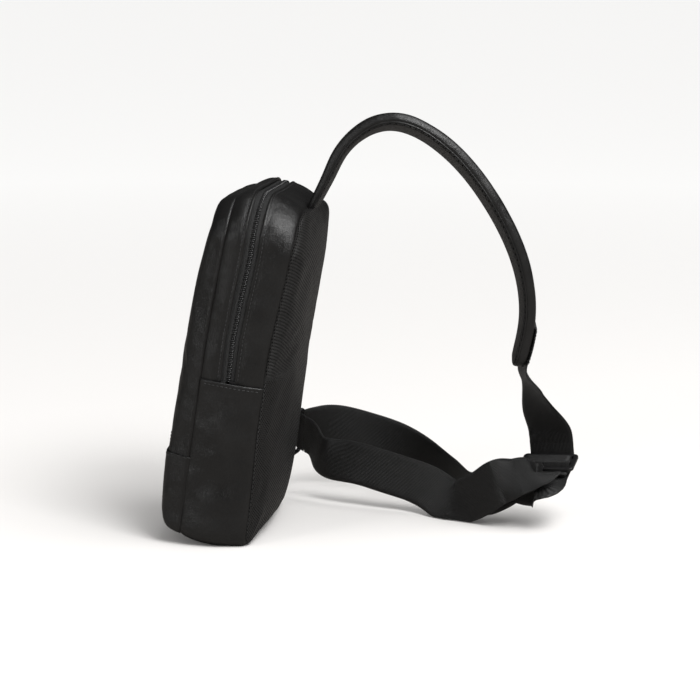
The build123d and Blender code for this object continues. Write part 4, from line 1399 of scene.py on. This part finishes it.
def box_stitch():
    """Sewn box with its cross, where the webbing is joined to the padded strap."""
    rows = [k for k in range(len(strap_path)) if SEWN_FROM < to_tip[k] < SEWN_TO]
    inside = WEB_HALF - 5
    lift = SEWN_OUT + WEB / 2 + 0.15

    def at(k, across):
        wide = unit(strap_wide[k])
        return (strap_path[k] + strap_out[k] * lift + wide * across) * MM

    diagonal = np.linspace(-inside, inside, len(rows))
    sides = [[at(k, s * inside) for k in rows] for s in (-1, 1)]
    ends = [[at(k, a) for a in np.linspace(-inside, inside, 12)] for k in (rows[0], rows[-1])]
    cross = [[at(k, s * a) for k, a in zip(rows, diagonal)] for s in (-1, 1)]
    thing = stitches("box_stitching", sides + ends + cross, pitch=3.0, length=2.3, radius=0.35)
    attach(dress(thing, THREAD, None, "webbing"), "strap")


box_stitch()

TAB_WALL = 0.65
TAB_ROUND = 2.9
TAB_REACH = 17.0  # from the ring's bar to inside the seam
TAB_WIDTH = 38.0  # at the ring, growing by TAB_SPREAD over TAB_FLARE towards the seam
TAB_SPREAD = 10.0
TAB_FLARE = 12.5
TAB_MOUTH = 0.35  # angle left open where the loop closes onto its two legs
to_seam = np.array([1, 0.1, 0])
to_seam = unit(to_seam - SWING * (to_seam @ SWING))
tab_y = np.cross(SWING, to_seam)
tab_line = [(TAB_REACH, TAB_WALL)]
for angle in np.linspace(TAB_MOUTH, math.tau - TAB_MOUTH, 26):
    tab_line.append((TAB_ROUND * math.cos(angle), TAB_ROUND * math.sin(angle)))
tab_line.append((TAB_REACH, -TAB_WALL))
tab_line = evenly(np.array(tab_line), WEB_STEP)
tab_path = TAB_BAR + tab_line[:, :1] * to_seam + tab_line[:, 1:] * tab_y
tab_width = TAB_WIDTH + TAB_SPREAD * np.clip((tab_line[:, 0] - 2) / TAB_FLARE, 0, 1)
tab_wide = np.repeat(SWING[None], len(tab_path), 0)
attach(webbing("ring_tab_webbing", tab_path, tab_wide, "ring_tab", tab_width), "bag")


# ---------------------------------------------------------------- parts shown as built
HARD_PARTS = {
    "strap_ring": METAL,
    "tri_glide": HARDWARE,
    "main_zip_slider": METAL,
    "main_zip_pull": METAL,
    "front_zip_slider": METAL,
    "front_zip_pull": METAL,
    "zip_stops": METAL,
}
for node, material in HARD_PARTS.items():
    part = frame["nodes"][node]
    part.data.materials.clear()
    part.data.materials.append(material)

# ---------------------------------------------------------------- floor, light and camera, in metres
TARGET = Vector((0, 0.071, 0.170))
FLOOR_SIZE = 400.0
FLOOR_Z = -0.0002


def lay_floor():
    bpy.ops.mesh.primitive_plane_add(size=FLOOR_SIZE, location=(0, 0, FLOOR_Z))
    thing = bpy.context.object
    thing.name = "floor"
    thing.data.materials.append(floor_material("floor"))
    thing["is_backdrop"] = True


def aimed(name, data, at, toward):
    """Puts a light or a camera at a place, looking along toward."""
    thing = bpy.data.objects.new(name, data)
    bpy.context.scene.collection.objects.link(thing)
    thing.location = at
    thing.rotation_euler = toward.to_track_quat("-Z", "Y").to_euler()
    return thing


def area_light(name, at, size, power):
    data = bpy.data.lights.new(name, "AREA")
    data.size = size
    data.energy = power
    aimed(name, data, at, TARGET - Vector(at))


lay_floor()
area_light("key", (0.9, 0.9, 1.5), 0.7, 22)
area_light("side", (1.6, -1.3, 0.9), 0.5, 9)

overhead = bpy.data.lights.new("overhead", "SUN")
overhead.energy = 2.0
overhead.angle = math.radians(50)
aimed("overhead", overhead, (0, 0, 0), Vector((-0.25, -0.55, -1.0)))

BACKDROP = 0.97  # brightness the camera sees behind the object
AMBIENT = 0.45  # light the backdrop sheds on rough surfaces
REFLECTED = 0.05  # brightness of the backdrop in reflections, as in a room of dark flags


def studio_world():
    """White surroundings whose brightness depends on what looks at them."""
    studio = bpy.data.worlds.new("studio")
    bpy.context.scene.world = studio
    studio.use_nodes = True
    sky = studio.node_tree
    rays = sky.nodes.new("ShaderNodeLightPath")
    seen = sky.nodes.new("ShaderNodeMix")
    seen.inputs[2].default_value = AMBIENT
    seen.inputs[3].default_value = BACKDROP
    mirrored = sky.nodes.new("ShaderNodeMix")
    mirrored.inputs[3].default_value = REFLECTED
    sky.links.new(rays.outputs["Is Camera Ray"], seen.inputs[0])
    sky.links.new(rays.outputs["Is Glossy Ray"], mirrored.inputs[0])
    sky.links.new(seen.outputs[0], mirrored.inputs[2])
    sky.nodes["Background"].inputs["Color"].default_value = (1, 1, 1, 1)
    sky.links.new(mirrored.outputs[0], sky.nodes["Background"].inputs["Strength"])


studio_world()
bpy.context.scene.view_settings.view_transform = "Standard"

AZIMUTH = math.radians(98.5)
ELEVATION = math.radians(10)
DISTANCE = 1.9
lens = bpy.data.cameras.new("camera")
lens.sensor_width = 36
lens.lens = 111.5
lens.shift_x = 0.0243
lens.shift_y = -0.0171
level = math.cos(ELEVATION)
toward = Vector((math.sin(AZIMUTH) * level, -math.cos(AZIMUTH) * level, math.sin(ELEVATION)))
bpy.context.scene.camera = aimed("camera", lens, TARGET + toward * DISTANCE, -toward)
bounds = {"cad": cad_box, "visual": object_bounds()}
bounds = {k: [[float(c) for c in corner] for corner in v] for k, v in bounds.items()}
